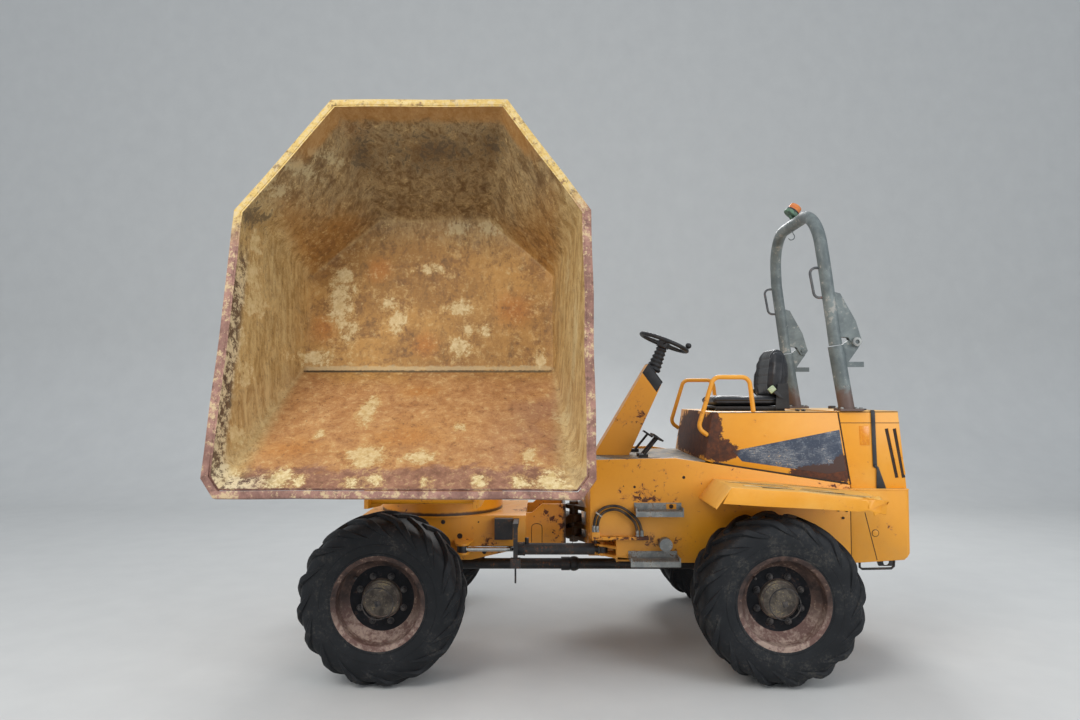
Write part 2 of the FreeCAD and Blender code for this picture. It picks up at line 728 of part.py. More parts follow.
def turntable_frame():
    base = disc(0, 0, ring_r, base_z, base_z + base_t)
    slot = box(well_u - 85, 400, -slot_half, slot_half, base_z - 1, base_z + base_t + 1)
    base = base.cut(slot)
    pin_u = tip_pin_u
    cheek = prism_y([(-ring_r, base_z), (-ring_r, cheek_z), (640.0, cheek_z), (pin_u - 69, tip_pin_z + 40),
                     (pin_u + 41, tip_pin_z + 40), (pin_u + 66, tip_pin_z - 22),
                     (pin_u + 66, ring_z + 60), (700.0, base_z)], cheek_y - cheek_t, cheek_y)
    parts = [base] + both(cheek)
    parts.append(box(-ring_r, cheek_t - ring_r, -cheek_y, cheek_y, base_z, cheek_z))
    parts.append(rod((pin_u - 39, -cheek_y, cross_tube_z), (pin_u - 39, cheek_y, cross_tube_z), 45))
    for s in (-1, 1):
        inner = s * (base_eye_w / 2 + lug_gap)
        outer = inner + s * tip_lug_t
        lug = prism_y([(well_u - 60, lug_top_z), (well_u - 60, well_z - 30), (well_u, well_z - 55),
                       (well_u + 60, well_z - 30), (well_u + 90, lug_top_z)], inner, outer)
        parts.append(lug)
        parts.append(box(well_u - 85, well_u - 60, inner, s * (cheek_y - 1), base_z, lug_top_z))
        pin_end = s * (cheek_y + 55)
        parts.append(rod((tip_pin_u, s * (cheek_y - cheek_t), tip_pin_z), (tip_pin_u, pin_end, tip_pin_z),
                         tip_pin_r))
    parts.append(box(well_u - 85, well_u - 60, -slot_half, slot_half, ring_z + 15, lug_top_z))
    pin_half = base_eye_w / 2 + 25
    parts.append(rod((well_u, -pin_half, well_z), (well_u, pin_half, well_z), 20))
    return join(parts)


# Skip: plates between a mouth outline and a floor outline, with a folded rim
rim_z = skip_floor_z + skip_depth
mouth = [(0.0, 925.0), (100.0, 1000.0), (1602.0, 1000.0), (2322.0, 519.0)]
floor_outline = [(892.0, 800.0), (1539.0, 800.0), (1945.0, 373.5)]


def around(half):
    """A closed outline in (u, v) from its left half, given as (distance from lip, half width)."""
    left = [(skip_lip_u - s, w) for s, w in half]
    right = [(u, -w) for u, w in left]
    return left + right[::-1]


def inset(outline, distance):
    """A convex outline moved inward by a distance."""
    result = []
    count = len(outline)
    cu = sum(p[0] for p in outline) / count
    for i in range(count):
        lines = []
        for a, b in ((outline[i - 1], outline[i]), (outline[i], outline[(i + 1) % count])):
            du = b[0] - a[0]
            dv = b[1] - a[1]
            length = math.hypot(du, dv)
            nu = -dv / length
            nv = du / length
            if nu * (cu - a[0]) + nv * (0 - a[1]) < 0:
                nu = -nu
                nv = -nv
            lines.append((nu, nv, nu * a[0] + nv * a[1] + distance))
        (a1, b1, c1), (a2, b2, c2) = lines
        det = a1 * b2 - a2 * b1
        result.append(((c1 * b2 - c2 * b1) / det, (a1 * c2 - a2 * c1) / det))
    return result


def key(p):
    """A corner's place as a sortable name."""
    return (round(p.x, 3), round(p.y, 3), round(p.z, 3))


def solid_between(inner, outer):
    """A plate from its inner corners to its outer corners, all faces as triangles."""
    faces = []

    def tri(a, b, c):
        if (b - a).cross(c - a).Length > 1e-6:
            faces.append(Part.Face(Part.makePolygon([a, b, c, a])))
    n = len(inner)
    for k in range(1, n - 1):
        tri(inner[0], inner[k], inner[k + 1])
        tri(outer[0], outer[k], outer[k + 1])
    for k in range(n):
        j = (k + 1) % n
        first, last = (k, j) if key(inner[k]) < key(inner[j]) else (j, k)
        tri(inner[first], inner[last], outer[last])
        tri(inner[first], outer[last], outer[first])
    shell = Part.makeShell(faces)
    solid = Part.makeSolid(shell)
    if solid.Volume < 0:
        solid.reverse()
    return solid.removeSplitter()


wall_mouth = inset(around(mouth), rim_w)
wall_floor = around(floor_outline)
mouth_pts = [V(u, v, rim_z) for u, v in wall_mouth]
floor_pts = [V(u, v, skip_floor_z) for u, v in wall_floor]
m_lip, m_cheek, m_corner, m_back = mouth_pts[0:4]
m_back_r, m_corner_r, m_cheek_r, m_lip_r = mouth_pts[4:8]
f_front, f_corner, f_back = floor_pts[0:3]
f_back_r, f_corner_r, f_front_r = floor_pts[3:6]

skip_panels = {
    "skip_floor": [[f_front, f_corner, f_back, f_back_r, f_corner_r, f_front_r]],
    "skip_front": [[m_lip, f_front, f_front_r, m_lip_r]],
    "skip_left": [[m_cheek, m_corner, f_corner, f_front], [m_lip, m_cheek, f_front]],
    "skip_right": [[m_cheek_r, f_front_r, f_corner_r, m_corner_r], [m_lip_r, f_front_r, m_cheek_r]],
    "skip_rear": [[m_back, m_back_r, f_back_r, f_back],
                  [m_corner, m_back, f_back], [m_corner, f_back, f_corner],
                  [m_corner_r, f_back_r, m_back_r], [m_corner_r, f_corner_r, f_back_r]],
}
centre_point = V(skip_lip_u - 1200, 0, rim_z - skip_depth / 3)


def outward(face):
    """The unit normal of a panel, away from the load space."""
    normal = (face[1] - face[0]).cross(face[2] - face[0]).normalize()
    if normal.dot(face[0] - centre_point) < 0:
        normal = normal * -1
    return normal


normals_at = {}
for panel_faces in skip_panels.values():
    for face in panel_faces:
        for p in face:
            normals_at.setdefault(key(p), []).append(outward(face))


def outer_corner(p):
    """The corner of the outer skin beside an inner corner: a wall thickness off each panel."""
    rows = list(normals_at[key(p)])
    targets = [skip_t] * len(rows)
    if abs(p.z - rim_z) < 1e-6:
        rows.append(V(0, 0, 100))
        targets.append(0.0)
    m = [[0.0] * 3 for _ in range(3)]
    r = [0.0] * 3
    for row, target in zip(rows, targets):
        values = (row.x, row.y, row.z)
        for i in range(3):
            r[i] += values[i] * target
            for j in range(3):
                m[i][j] += values[i] * values[j]
    for i in range(3):
        m[i][i] += 1e-6
    matrix = FreeCAD.Matrix(m[0][0], m[0][1], m[0][2], 0, m[1][0], m[1][1], m[1][2], 0,
                            m[2][0], m[2][1], m[2][2], 0, 0, 0, 0, 1)
    return p + matrix.inverse().multVec(V(*r))


def skip_panel(name):
    plates = []
    for face in skip_panels[name]:
        plates.append(solid_between(face, [outer_corner(p) for p in face]))
    return on_skip(join(plates))


def skip_rim():
    """The folded rim: a box section outside the walls' top edge."""
    outer = prism_z(around(mouth), rim_z - rim_h, rim_z)
    inner = prism_z(inset(around(mouth), rim_w - 1.5 * skip_t), rim_z - rim_h - 1, rim_z + 1)
    return on_skip(outer.cut(inner))


bracket_y = cheek_y + 10.0
bracket_t = 20.0
slope_dir = ((m_lip.x - f_front.x), (rim_z - skip_floor_z))
eye_u = 620.0
eye_z = ring_z + 215.0


def slope_z(u, off):
    """Height of the front slope's outer skin at u, lowered by off across the plate."""
    length = math.hypot(*slope_dir)
    drop = (skip_t + off) * length / slope_dir[0]
    return skip_floor_z + (u - f_front.x) * slope_dir[1] / slope_dir[0] - drop


def skip_subframe():
    under = skip_floor_z - skip_t - seat_gap
    bend_u = f_front.x + skip_t * 0.35
    outline = [(-650.0, under), (bend_u, under), (780.0, slope_z(780.0, seat_gap)),
               (1020.0, tip_pin_z + 45.0), (1035.0, tip_pin_z), (1010.0, tip_pin_z - 45.0),
               (tip_pin_u, tip_pin_z - 58.0), (300.0, ring_z + 115.0), (-600.0, ring_z + 140.0)]
    parts = []
    for s in (-1, 1):
        inner = s * bracket_y
        plate = prism_y(outline, inner, inner + s * bracket_t)
        bore = rod((tip_pin_u, inner - 50, tip_pin_z), (tip_pin_u, inner + 50, tip_pin_z),
                   tip_pin_r + bearing_gap)
        parts.append(plate.cut(bore))
        lug_in = s * (tip_eye_w / 2 + lug_gap)
        lug = prism_y([(500.0, slope_z(500.0, seat_gap)), (780.0, slope_z(780.0, seat_gap)),
                       (665.0, eye_z), (eye_u, eye_z - 42.0), (575.0, eye_z)],
                      lug_in, lug_in + s * tip_lug_t)
        parts.append(lug)
    brace_z = ring_z + 415.0
    parts.append(rod((640, -bracket_y - 1, brace_z), (640, bracket_y + 1, brace_z), 38))
    return on_skip(join(parts))


# Tip ram, drawn along its own line at rest, from the well in the turntable to the skip's lugs
tip_ram_r = 45.0
tip_rod_r = 28.0
tip_barrel_end = 700.0
tip_rod_length = 620.0


def tipped_point(u, z):
    """Where a point of the level skip stands once tipped."""
    du = u - tip_pin_u
    dz = z - tip_pin_z
    c = math.cos(math.radians(tip_angle))
    s = math.sin(math.radians(tip_angle))
    return (tip_pin_u + du * c + dz * s, tip_pin_z - du * s + dz * c)


eye_tipped = tipped_point(eye_u, eye_z)
tip_line = (eye_tipped[0] - well_u, eye_tipped[1] - well_z)
tip_length = math.hypot(*tip_line)


def along_tip(distance):
    return (well_u + tip_line[0] * distance / tip_length, 0, well_z + tip_line[1] * distance / tip_length)


def cross_eye(place, width, r, hole):
    """A round eye across a ram's end, and the hole through it."""
    half = width / 2
    eye = rod((place[0], -half, place[2]), (place[0], half, place[2]), r)
    bore = rod((place[0], -half - 1, place[2]), (place[0], half + 1, place[2]), hole)
    return eye, bore


def tip_barrel():
    eye, bore = cross_eye(along_tip(0), base_eye_w, 42, 20 + bearing_gap)
    body = rod(along_tip(35), along_tip(tip_barrel_end), tip_ram_r)
    inside = rod(along_tip(90), along_tip(tip_barrel_end + 1), tip_rod_r + bearing_gap)
    return on_turntable(join([eye, body]).cut(inside).cut(bore))


def tip_rod():
    eye, bore = cross_eye(along_tip(tip_length), tip_eye_w, 38, 20)
    body = rod(along_tip(tip_length - tip_rod_length), along_tip(tip_length), tip_rod_r)
    return on_turntable(join([eye, body]).cut(bore))


# Wheels: a tyre out to its lug tips and a deep-dished rim, drawn about the Y axis
half_w = tyre_w / 2
rim_r = rim_d / 2
flange_r = rim_r + 24.0


def revolve_y(profile):
    """A ring from an outline of (y, r) points about the Y axis."""
    points = [V(0, y, r) for y, r in profile]
    face = Part.Face(Part.makePolygon(points + points[:1]))
    return face.revolve(V(0, 0, 0), V(0, 1, 0), 360)


# Tyre: flat faces between rings of points. Sixteen bars a side start near the middle of the
# tread, run back over the shoulder and die out on the sidewall. Columns: the groove's place
# across and its depth below the tyre's radius, the same for the bar's top, how far back in
# degrees, half width of the bar's top, half width of its foot.
bar_count = 16
bar_pitch = 360.0 / bar_count
bar_rows = [
    (7.0, 23.0, 7.0, 0.0, 0.0, 17.0, 26.0),
    (100.0, 26.0, 102.0, 1.5, 10.5, 21.0, 32.0),
    (160.0, 45.0, 172.0, 18.0, 18.0, 27.0, 40.0),
    (half_w - 13.0, 75.0, half_w, 63.0, 24.0, 28.0, 40.0),
    (half_w - 6.5, 120.0, half_w - 5.5, 119.0, 38.0, 9.0, 13.0),
]
bead_y = 165.0
bead_shift = 0.15
# A corner of one bar points straight down, so that the tyre stands on the ground
nose_angle = bar_pitch + math.degrees(bar_rows[0][5] / (tyre_d / 2))


def ring_point(across, radius, angle):
    turn = math.radians(angle)
    return V(-radius * math.cos(turn), across, radius * math.sin(turn))


def half_rings(side):
    """One half's rings from the tread to the bead: (place in pitches, angle, point) in order."""
    shift = 0.0 if side > 0 else 0.5
    rings = []
    for groove_y, groove_depth, top_y, top_depth, back, top_half, foot_half in bar_rows:
        groove_r = tyre_d / 2 - groove_depth
        top_r = tyre_d / 2 - top_depth
        corners = ((groove_y, groove_r, -foot_half), (top_y, top_r, -top_half),
                   (top_y, top_r, top_half), (groove_y, groove_r, foot_half))
        ring = []
        for k in range(bar_count):
            for n, (y, r, along) in enumerate(corners):
                angle = (k + shift) * bar_pitch + nose_angle - back + math.degrees(along / r)
                ring.append((k + shift + n / 4, angle, ring_point(side * y, r, angle)))
        rings.append(ring)
    bead_r = (rim_r + seat_gap) / math.cos(math.pi / (2 * bar_count))
    bead = []
    for k in range(2 * bar_count):
        place = k / 2 + shift
        angle = (place - bead_shift) * bar_pitch + nose_angle - bar_rows[-1][4]
        bead.append((place, angle, ring_point(side * bead_y, bead_r, angle)))
    return rings + [bead]


def strip(one, two):
    """Triangles between two closed rings of (place, point), both in the order of their places."""
    faces = []
    one = one + [(one[0][0] + bar_count, one[0][1])]
    two = two + [(two[0][0] + bar_count, two[0][1])]
    i = j = 0
    while i < len(one) - 1 or j < len(two) - 1:
        first = j == len(two) - 1 or (i < len(one) - 1 and one[i + 1][0] <= two[j + 1][0])
        corner = one[i + 1][1] if first else two[j + 1][1]
        faces.append((one[i][1], corner, two[j][1]))
        i += first
        j += not first
    return faces


def by_place(ring):
    return [(place, point) for place, angle, point in ring]


def by_angle(ring):
    turned = [((angle / bar_pitch) % bar_count, point) for place, angle, point in ring]
    return sorted(turned, key=lambda entry: entry[0])


def tyre_form():
    left = half_rings(1)
    right = half_rings(-1)
    faces = strip(by_angle(left[0]), by_angle(right[0]))
    faces += [face[::-1] for face in strip(by_angle(left[-1]), by_angle(right[-1]))]
    for one, two in zip(left, left[1:]):
        faces += [face[::-1] for face in strip(by_place(one), by_place(two))]
    for one, two in zip(right, right[1:]):
        faces += strip(by_place(one), by_place(two))
    shell = Part.makeShell([Part.Face(Part.makePolygon([*face, face[0]])) for face in faces])
    shell.sewShape()
    tyre = Part.Solid(shell)
    if tyre.Volume < 0:
        tyre.reverse()
    return tyre


# Rim: a drop-centre barrel with a flat disc, and the hub that carries it
rim_wall = 9.0
flange_y = 189.0
disc_in = 50.0
disc_out = 62.0
dish_r = 195.0


def rim_form():
    inside = rim_r - rim_wall
    edge = inside + 4
    outline = [(-flange_y, flange_r), (-180, flange_r), (-168, rim_r), (168, rim_r), (180, flange_r),
               (flange_y, flange_r), (180, edge), (110, inside), (disc_out, dish_r), (disc_out, hub_r - 5),
               (disc_in, hub_r - 5), (disc_in, dish_r), (80, inside), (-180, edge)]
    barrel = revolve_y(outline)
    inner = hub_inner_y - track / 2
    outer = hub_outer_y - track / 2
    bore = spindle_r + bearing_gap
    hub = revolve_y([(inner, bore), (inner, hub_r + 10), (disc_in - 5, hub_r + 10), (disc_out + 8, hub_r),
                     (outer - 10, hub_r), (outer, hub_r - 14), (outer, 0.0), (outer - 20, 0.0),
                     (outer - 20, bore)])
    return join([barrel, hub])


def at_wheel(shape, x, side):
    placed = shape.copy()
    if side < 0:
        placed = placed.mirror(V(0, 0, 0), V(0, 1, 0))
    placed.translate(V(x, side * track / 2, axle_z))
    return placed


export("rear_frame", [rear_frame()])
export("footplate", [footplate()])
for hose_name, points in hose_points.items():
    export(hose_name, [hose(points)])
export("rear_axle", [axle(-axle_x, beam_y, belly_z - seat_gap)])
export("rear_propshaft", [rear_propshaft()])
export("engine_block", [engine_block()])
export("engine_cover", [engine_cover()])
export("tail_cover", [tail_cover()])
export("counterweight", [counterweight()])
export("fender_left", [fender()])
export("fender_right", [mirrored(fender())])
export("steps", steps())
export("steering_column", [steering_column()])
export("steering_wheel", [steering_wheel()])
export("pedals", pedals())
export("seat_base", [seat_base()])
export("seat_cushion", [seat_cushion()])
export("seat_back", [seat_back()])
export("handrails", handrails())
export("rops_posts", rops_posts())
export("rear_hitch", [rear_hitch()])
export("lashing_plates", lashing_plates())
export("hoop", [hoop()])
export("grab_handles", grab_handles())
export("beacon", [beacon()])
export("front_frame", [front_frame()])
export("front_axle", [axle(axle_x, front_frame_y - plate_t / 2, main_bottom_z - seat_gap)])
export("front_propshaft", [front_propshaft()])
export("slew_ring", [slew_ring()])
export("lock_bar", [lock_bar()])
export("valve_box", [valve_box()])
export("turntable_frame", [on_turntable(turntable_frame())])
for panel_name in skip_panels:
    export(panel_name, [skip_panel(panel_name)])
export("skip_rim", [skip_rim()])
export("skip_subframe", [skip_subframe()])
export("tip_barrel", [tip_barrel()])
export("tip_rod", [tip_rod()])
export("steer_barrel", [steer_barrel()])
export("steer_rod", [steer_rod()])
tyre_shape = tyre_form()
rim_shape = rim_form()
for place, x_wheel in (("front", axle_x), ("rear", -axle_x)):
    for side_name, side in (("left", 1), ("right", -1)):
        export("tyre_%s_%s" % (place, side_name), [at_wheel(tyre_shape, x_wheel, side)])
        export("rim_%s_%s" % (place, side_name), [at_wheel(rim_shape, x_wheel, side)])
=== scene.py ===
# %% [markdown]
# # A worn site dumper
# This lesson dresses a compact articulated dumper. The construction, its joints and its sizes
# come as a fixed frame, so every piece made here is put where the frame says. The looks are
# made of two things: small shapes that catch the light, and finishes that show paint, rust,
# dried earth and rubber.

# %% Load the frame and note its size
import json
import math
import random
import bpy
import bmesh
from mathutils import Matrix, Vector, geometry, noise

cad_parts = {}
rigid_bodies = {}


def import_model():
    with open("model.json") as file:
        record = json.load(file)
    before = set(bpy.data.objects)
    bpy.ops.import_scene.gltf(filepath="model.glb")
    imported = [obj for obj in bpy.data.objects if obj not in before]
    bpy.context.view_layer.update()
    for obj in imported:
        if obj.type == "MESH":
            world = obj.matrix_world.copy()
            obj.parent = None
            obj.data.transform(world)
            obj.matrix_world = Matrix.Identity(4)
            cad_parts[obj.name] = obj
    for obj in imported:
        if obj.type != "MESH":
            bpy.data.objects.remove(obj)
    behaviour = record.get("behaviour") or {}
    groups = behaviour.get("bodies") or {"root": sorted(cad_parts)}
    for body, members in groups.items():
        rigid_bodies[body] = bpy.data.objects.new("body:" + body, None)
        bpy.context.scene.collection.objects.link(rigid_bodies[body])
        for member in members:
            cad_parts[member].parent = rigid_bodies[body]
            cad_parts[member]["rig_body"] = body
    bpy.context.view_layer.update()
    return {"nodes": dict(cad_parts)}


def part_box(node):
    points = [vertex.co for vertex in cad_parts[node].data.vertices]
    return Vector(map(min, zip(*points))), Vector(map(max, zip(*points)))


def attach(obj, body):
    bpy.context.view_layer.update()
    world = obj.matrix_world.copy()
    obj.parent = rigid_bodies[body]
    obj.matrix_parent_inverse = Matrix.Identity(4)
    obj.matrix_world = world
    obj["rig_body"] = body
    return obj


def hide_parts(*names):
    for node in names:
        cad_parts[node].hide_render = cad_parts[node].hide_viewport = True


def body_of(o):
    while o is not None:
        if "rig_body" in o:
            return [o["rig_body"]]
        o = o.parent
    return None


for leftover in list(bpy.data.objects):
    bpy.data.objects.remove(leftover, do_unlink=True)
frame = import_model()
nodes = frame["nodes"]
noise.seed_set(11)

# %% [markdown]
# ## Shader maths as plain expressions
# A finish is a sum of masks and noises. Wiring each Math node by hand hides the idea, so one
# small class wraps a socket and lets Python's own signs add the nodes.

# %% A socket that can be added, multiplied and compared
class Sk:
    """A shader socket that plain arithmetic works on."""

    def __init__(self, tree, socket):
        self.tree = tree
        self.socket = socket

    def op(self, kind, other=None, swap=False, clamp=False):
        node = self.tree.nodes.new("ShaderNodeMath")
        node.operation = kind
        node.use_clamp = clamp
        pair = (self, other) if not swap else (other, self)
        for slot, value in zip(node.inputs, pair):
            if isinstance(value, Sk):
                self.tree.links.new(value.socket, slot)
            elif value is not None:
                slot.default_value = value
        return Sk(self.tree, node.outputs[0])

    def __add__(self, other):
        return self.op("ADD", other)

    __radd__ = __add__

    def __mul__(self, other):
        return self.op("MULTIPLY", other)

    __rmul__ = __mul__

    def __sub__(self, other):
        return self.op("SUBTRACT", other)

    def __rsub__(self, other):
        return self.op("SUBTRACT", other, swap=True)

    def clamp(self):
        return self.op("MULTIPLY", 1.0, clamp=True)

    def low(self, other):
        return self.op("MINIMUM", other)

    def high(self, other):
        return self.op("MAXIMUM", other)

    def away(self, centre):
        """Distance of this value from a centre."""
        return (self - centre).op("ABSOLUTE")


# %% A finish: one material and the method that adds its nodes
class Finish:
    """A material under construction, with its Principled shader."""

    def __init__(self, name):
        self.material = bpy.data.materials.new(name)
        self.material.use_nodes = True
        self.tree = self.material.node_tree
        self.shader = self.tree.nodes["Principled BSDF"]
        self.place = self.node("ShaderNodeTexCoord", out="Object")
        self.split = self.tree.nodes.new("ShaderNodeSeparateXYZ")
        self.tree.links.new(self.place.socket, self.split.inputs[0])
        self.x, self.y, self.z = [Sk(self.tree, out) for out in self.split.outputs]

    def node(self, kind, settings=None, out=0, **values):
        """Add a node: its settings first, then the values or links of its sockets."""
        node = self.tree.nodes.new(kind)
        for key, value in (settings or {}).items():
            if key == "stops":
                stops = node.color_ramp.elements
                while len(stops) < len(value):
                    stops.new(0.5)
                for stop, (at, colour) in zip(stops, value):
                    stop.position = at
                    stop.color = (*colour, 1.0)
            else:
                setattr(node, key, value)
        for key, value in values.items():
            slot = node.inputs[int(key[1:]) if key[1:].isdigit() else key.replace("_", " ")]
            if isinstance(value, Sk):
                self.tree.links.new(value.socket, slot)
            else:
                slot.default_value = value
        return Sk(self.tree, node.outputs[out])

    def noise(self, scale, detail=4.0, rough=0.55, warp=0.0, stretch=(1, 1, 1), shift=0.0):
        """Fractal noise over the object's own place, from 0 to 1."""
        at = self.node("ShaderNodeMapping", Vector=self.place, Scale=stretch,
                       Location=(shift, shift * 1.7, -shift))
        return self.node("ShaderNodeTexNoise", Vector=at, Scale=scale, Detail=detail,
                         Roughness=rough, Distortion=warp)

    def cells(self, scale, out="Distance", stretch=(1, 1, 1)):
        at = self.node("ShaderNodeMapping", Vector=self.place, Scale=stretch)
        return self.node("ShaderNodeTexVoronoi", out=out, Vector=at, Scale=scale)

    def step(self, value, low, high):
        """A smooth step from 0 at low to 1 at high."""
        return self.node("ShaderNodeMapRange", {"interpolation_type": "SMOOTHSTEP"}, Value=value,
                         From_Min=low, From_Max=high)

    def mix(self, share, below, above):
        """One colour over another."""
        return self.node("ShaderNodeMix", {"data_type": "RGBA"}, out=2, _0=share,
                         _6=self.colour(below), _7=self.colour(above))

    def colour(self, value):
        return value if isinstance(value, Sk) else (*value, 1.0)

    def bump(self, height, strength, distance, normal=None):
        more = {"Normal": normal} if normal else {}
        return self.node("ShaderNodeBump", Strength=strength, Distance=distance, Height=height, **more)

    def spots(self, places):
        """How deep a point lies inside any of the balls, each (centre, reach along x, y, z)."""
        field = None
        for centre, reach in places:
            at = self.node("ShaderNodeMapping", Vector=self.place, Scale=[1 / r for r in reach],
                           Location=[-c / r for c, r in zip(centre, reach)])
            depth = 1 - self.node("ShaderNodeVectorMath", {"operation": "LENGTH"}, out=1, _0=at)
            field = depth if field is None else field.high(depth)
        return field

    def stored(self, name):
        """A number that the mesh keeps for each of its corners."""
        return self.node("ShaderNodeAttribute", {"attribute_name": name}, out=2)

    def done(self, colour=None, rough=None, metal=None, normal=None, **plain):
        for key, value in (("Base Color", colour), ("Roughness", rough), ("Metallic", metal),
                           ("Normal", normal)):
            if isinstance(value, Sk):
                self.tree.links.new(value.socket, self.shader.inputs[key])
            elif value is not None:
                self.shader.inputs[key].default_value = (*value, 1.0) if key == "Base Color" else value
        for key, value in plain.items():
            self.shader.inputs[key.replace("_", " ")].default_value = value
        return self.material


def srgb(r, g, b):
    """A colour as seen on a screen, 0 to 255, as the linear numbers a shader takes."""
    def line(v):
        v = v / 255.0
        return v / 12.92 if v <= 0.04045 else ((v + 0.055) / 1.055) ** 2.4
    return (line(r), line(g), line(b))


# %% [markdown]
# ## Paint that has worked outdoors
# The machine's orange-yellow paint has faded where it looks up, is chipped to dark brown
# rust along edges and low down, and carries streaks that run down from each chip. Each of
# these is a mask on the colour, and the chips also dent the surface a little.

# %% Yellow paint
COVER_RUST = [((-0.86, 0.56, 1.47), (0.12, 0.3, 0.16)), ((-0.93, 0.56, 1.36), (0.14, 0.3, 0.09)),
              ((-0.86, 0.0, 1.45), (0.07, 0.7, 0.22)), ((-1.60, 0.56, 1.20), (0.24, 0.2, 0.075)),
              ((-1.74, 0.56, 1.24), (0.08, 0.2, 0.10))]
YELLOW = srgb(228, 153, 30)
YELLOW_FADED = srgb(238, 186, 96)
RUST_DARK = srgb(66, 42, 33)
RUST_ORANGE = srgb(170, 92, 40)
EARTH = srgb(128, 104, 78)


def yellow_paint(name, chips=0.5, fade=0.5, low_dirt=0.9, spots=(), black_patches=()):
    """Chips from 0 to 1, fade on upward faces, earth below a height, bare places and black patches."""
    f = Finish(name)
    up = f.node("ShaderNodeSeparateXYZ", out=2, Vector=f.node("ShaderNodeTexCoord", out="Normal"))
    cloud = f.noise(2.2, 5.0, 0.6)
    faded = (f.step(up, 0.2, 0.9) * 0.8 + f.step(cloud, 0.45, 0.75) * 0.35) * fade
    paint = f.mix(faded.clamp(), YELLOW, YELLOW_FADED)
    tint = f.noise(9.0, 6.0, 0.7, shift=3.0)
    paint = f.mix(f.step(tint, 0.35, 0.8) * 0.22, paint, srgb(205, 128, 22))
    fine = f.noise(26.0, 8.0, 0.7, 0.4, shift=1.0)
    broad = f.noise(3.4, 4.0, 0.6, shift=7.0)
    bare = f.step(fine * 0.55 + broad * 0.65, 0.80 - 0.16 * chips, 0.82 - 0.16 * chips)
    if spots:
        bare = bare.high(f.step(f.spots(spots) + (fine - 0.5) * 1.1 + (broad - 0.5) * 0.8, 0.10, 0.16))
    streak = f.noise(5.0, 6.0, 0.65, stretch=(6, 6, 0.5), shift=2.0)
    run = f.step(streak, 0.60, 0.80) * 0.30 * chips
    paint = f.mix(run, paint, RUST_ORANGE)
    rust = f.mix(f.step(fine, 0.35, 0.7), RUST_DARK, RUST_ORANGE)
    halo = f.step(fine * 0.55 + broad * 0.65, 0.755 - 0.16 * chips, 0.80 - 0.16 * chips) * 0.45
    paint = f.mix(halo, paint, srgb(196, 118, 44))
    colour = f.mix(bare, paint, f.mix(0.75, rust, RUST_DARK))
    low = (1 - f.step(f.z, low_dirt - 0.35, low_dirt)) * f.step(cloud, 0.3, 0.7) * 0.45
    colour = f.mix(low, colour, EARTH)
    # Black patches: at the slew ring's base they are painted shade under its flange.
    if black_patches:
        colour = f.mix(f.step(f.spots(black_patches) + (fine - 0.5) * 0.3, 0.0, 0.2) * 0.93, colour, srgb(34, 30, 28))
    rough = 0.42 + bare * 0.42 + low * 0.3 + (cloud - 0.5) * 0.2
    skin = f.bump(f.noise(120.0, 3.0), 0.05, 0.002)
    normal = f.bump(1 - bare, 0.5, 0.0012, skin)
    return f.done(colour, rough, 0.0, normal, Coat_Weight=0.06, Coat_Roughness=0.4)
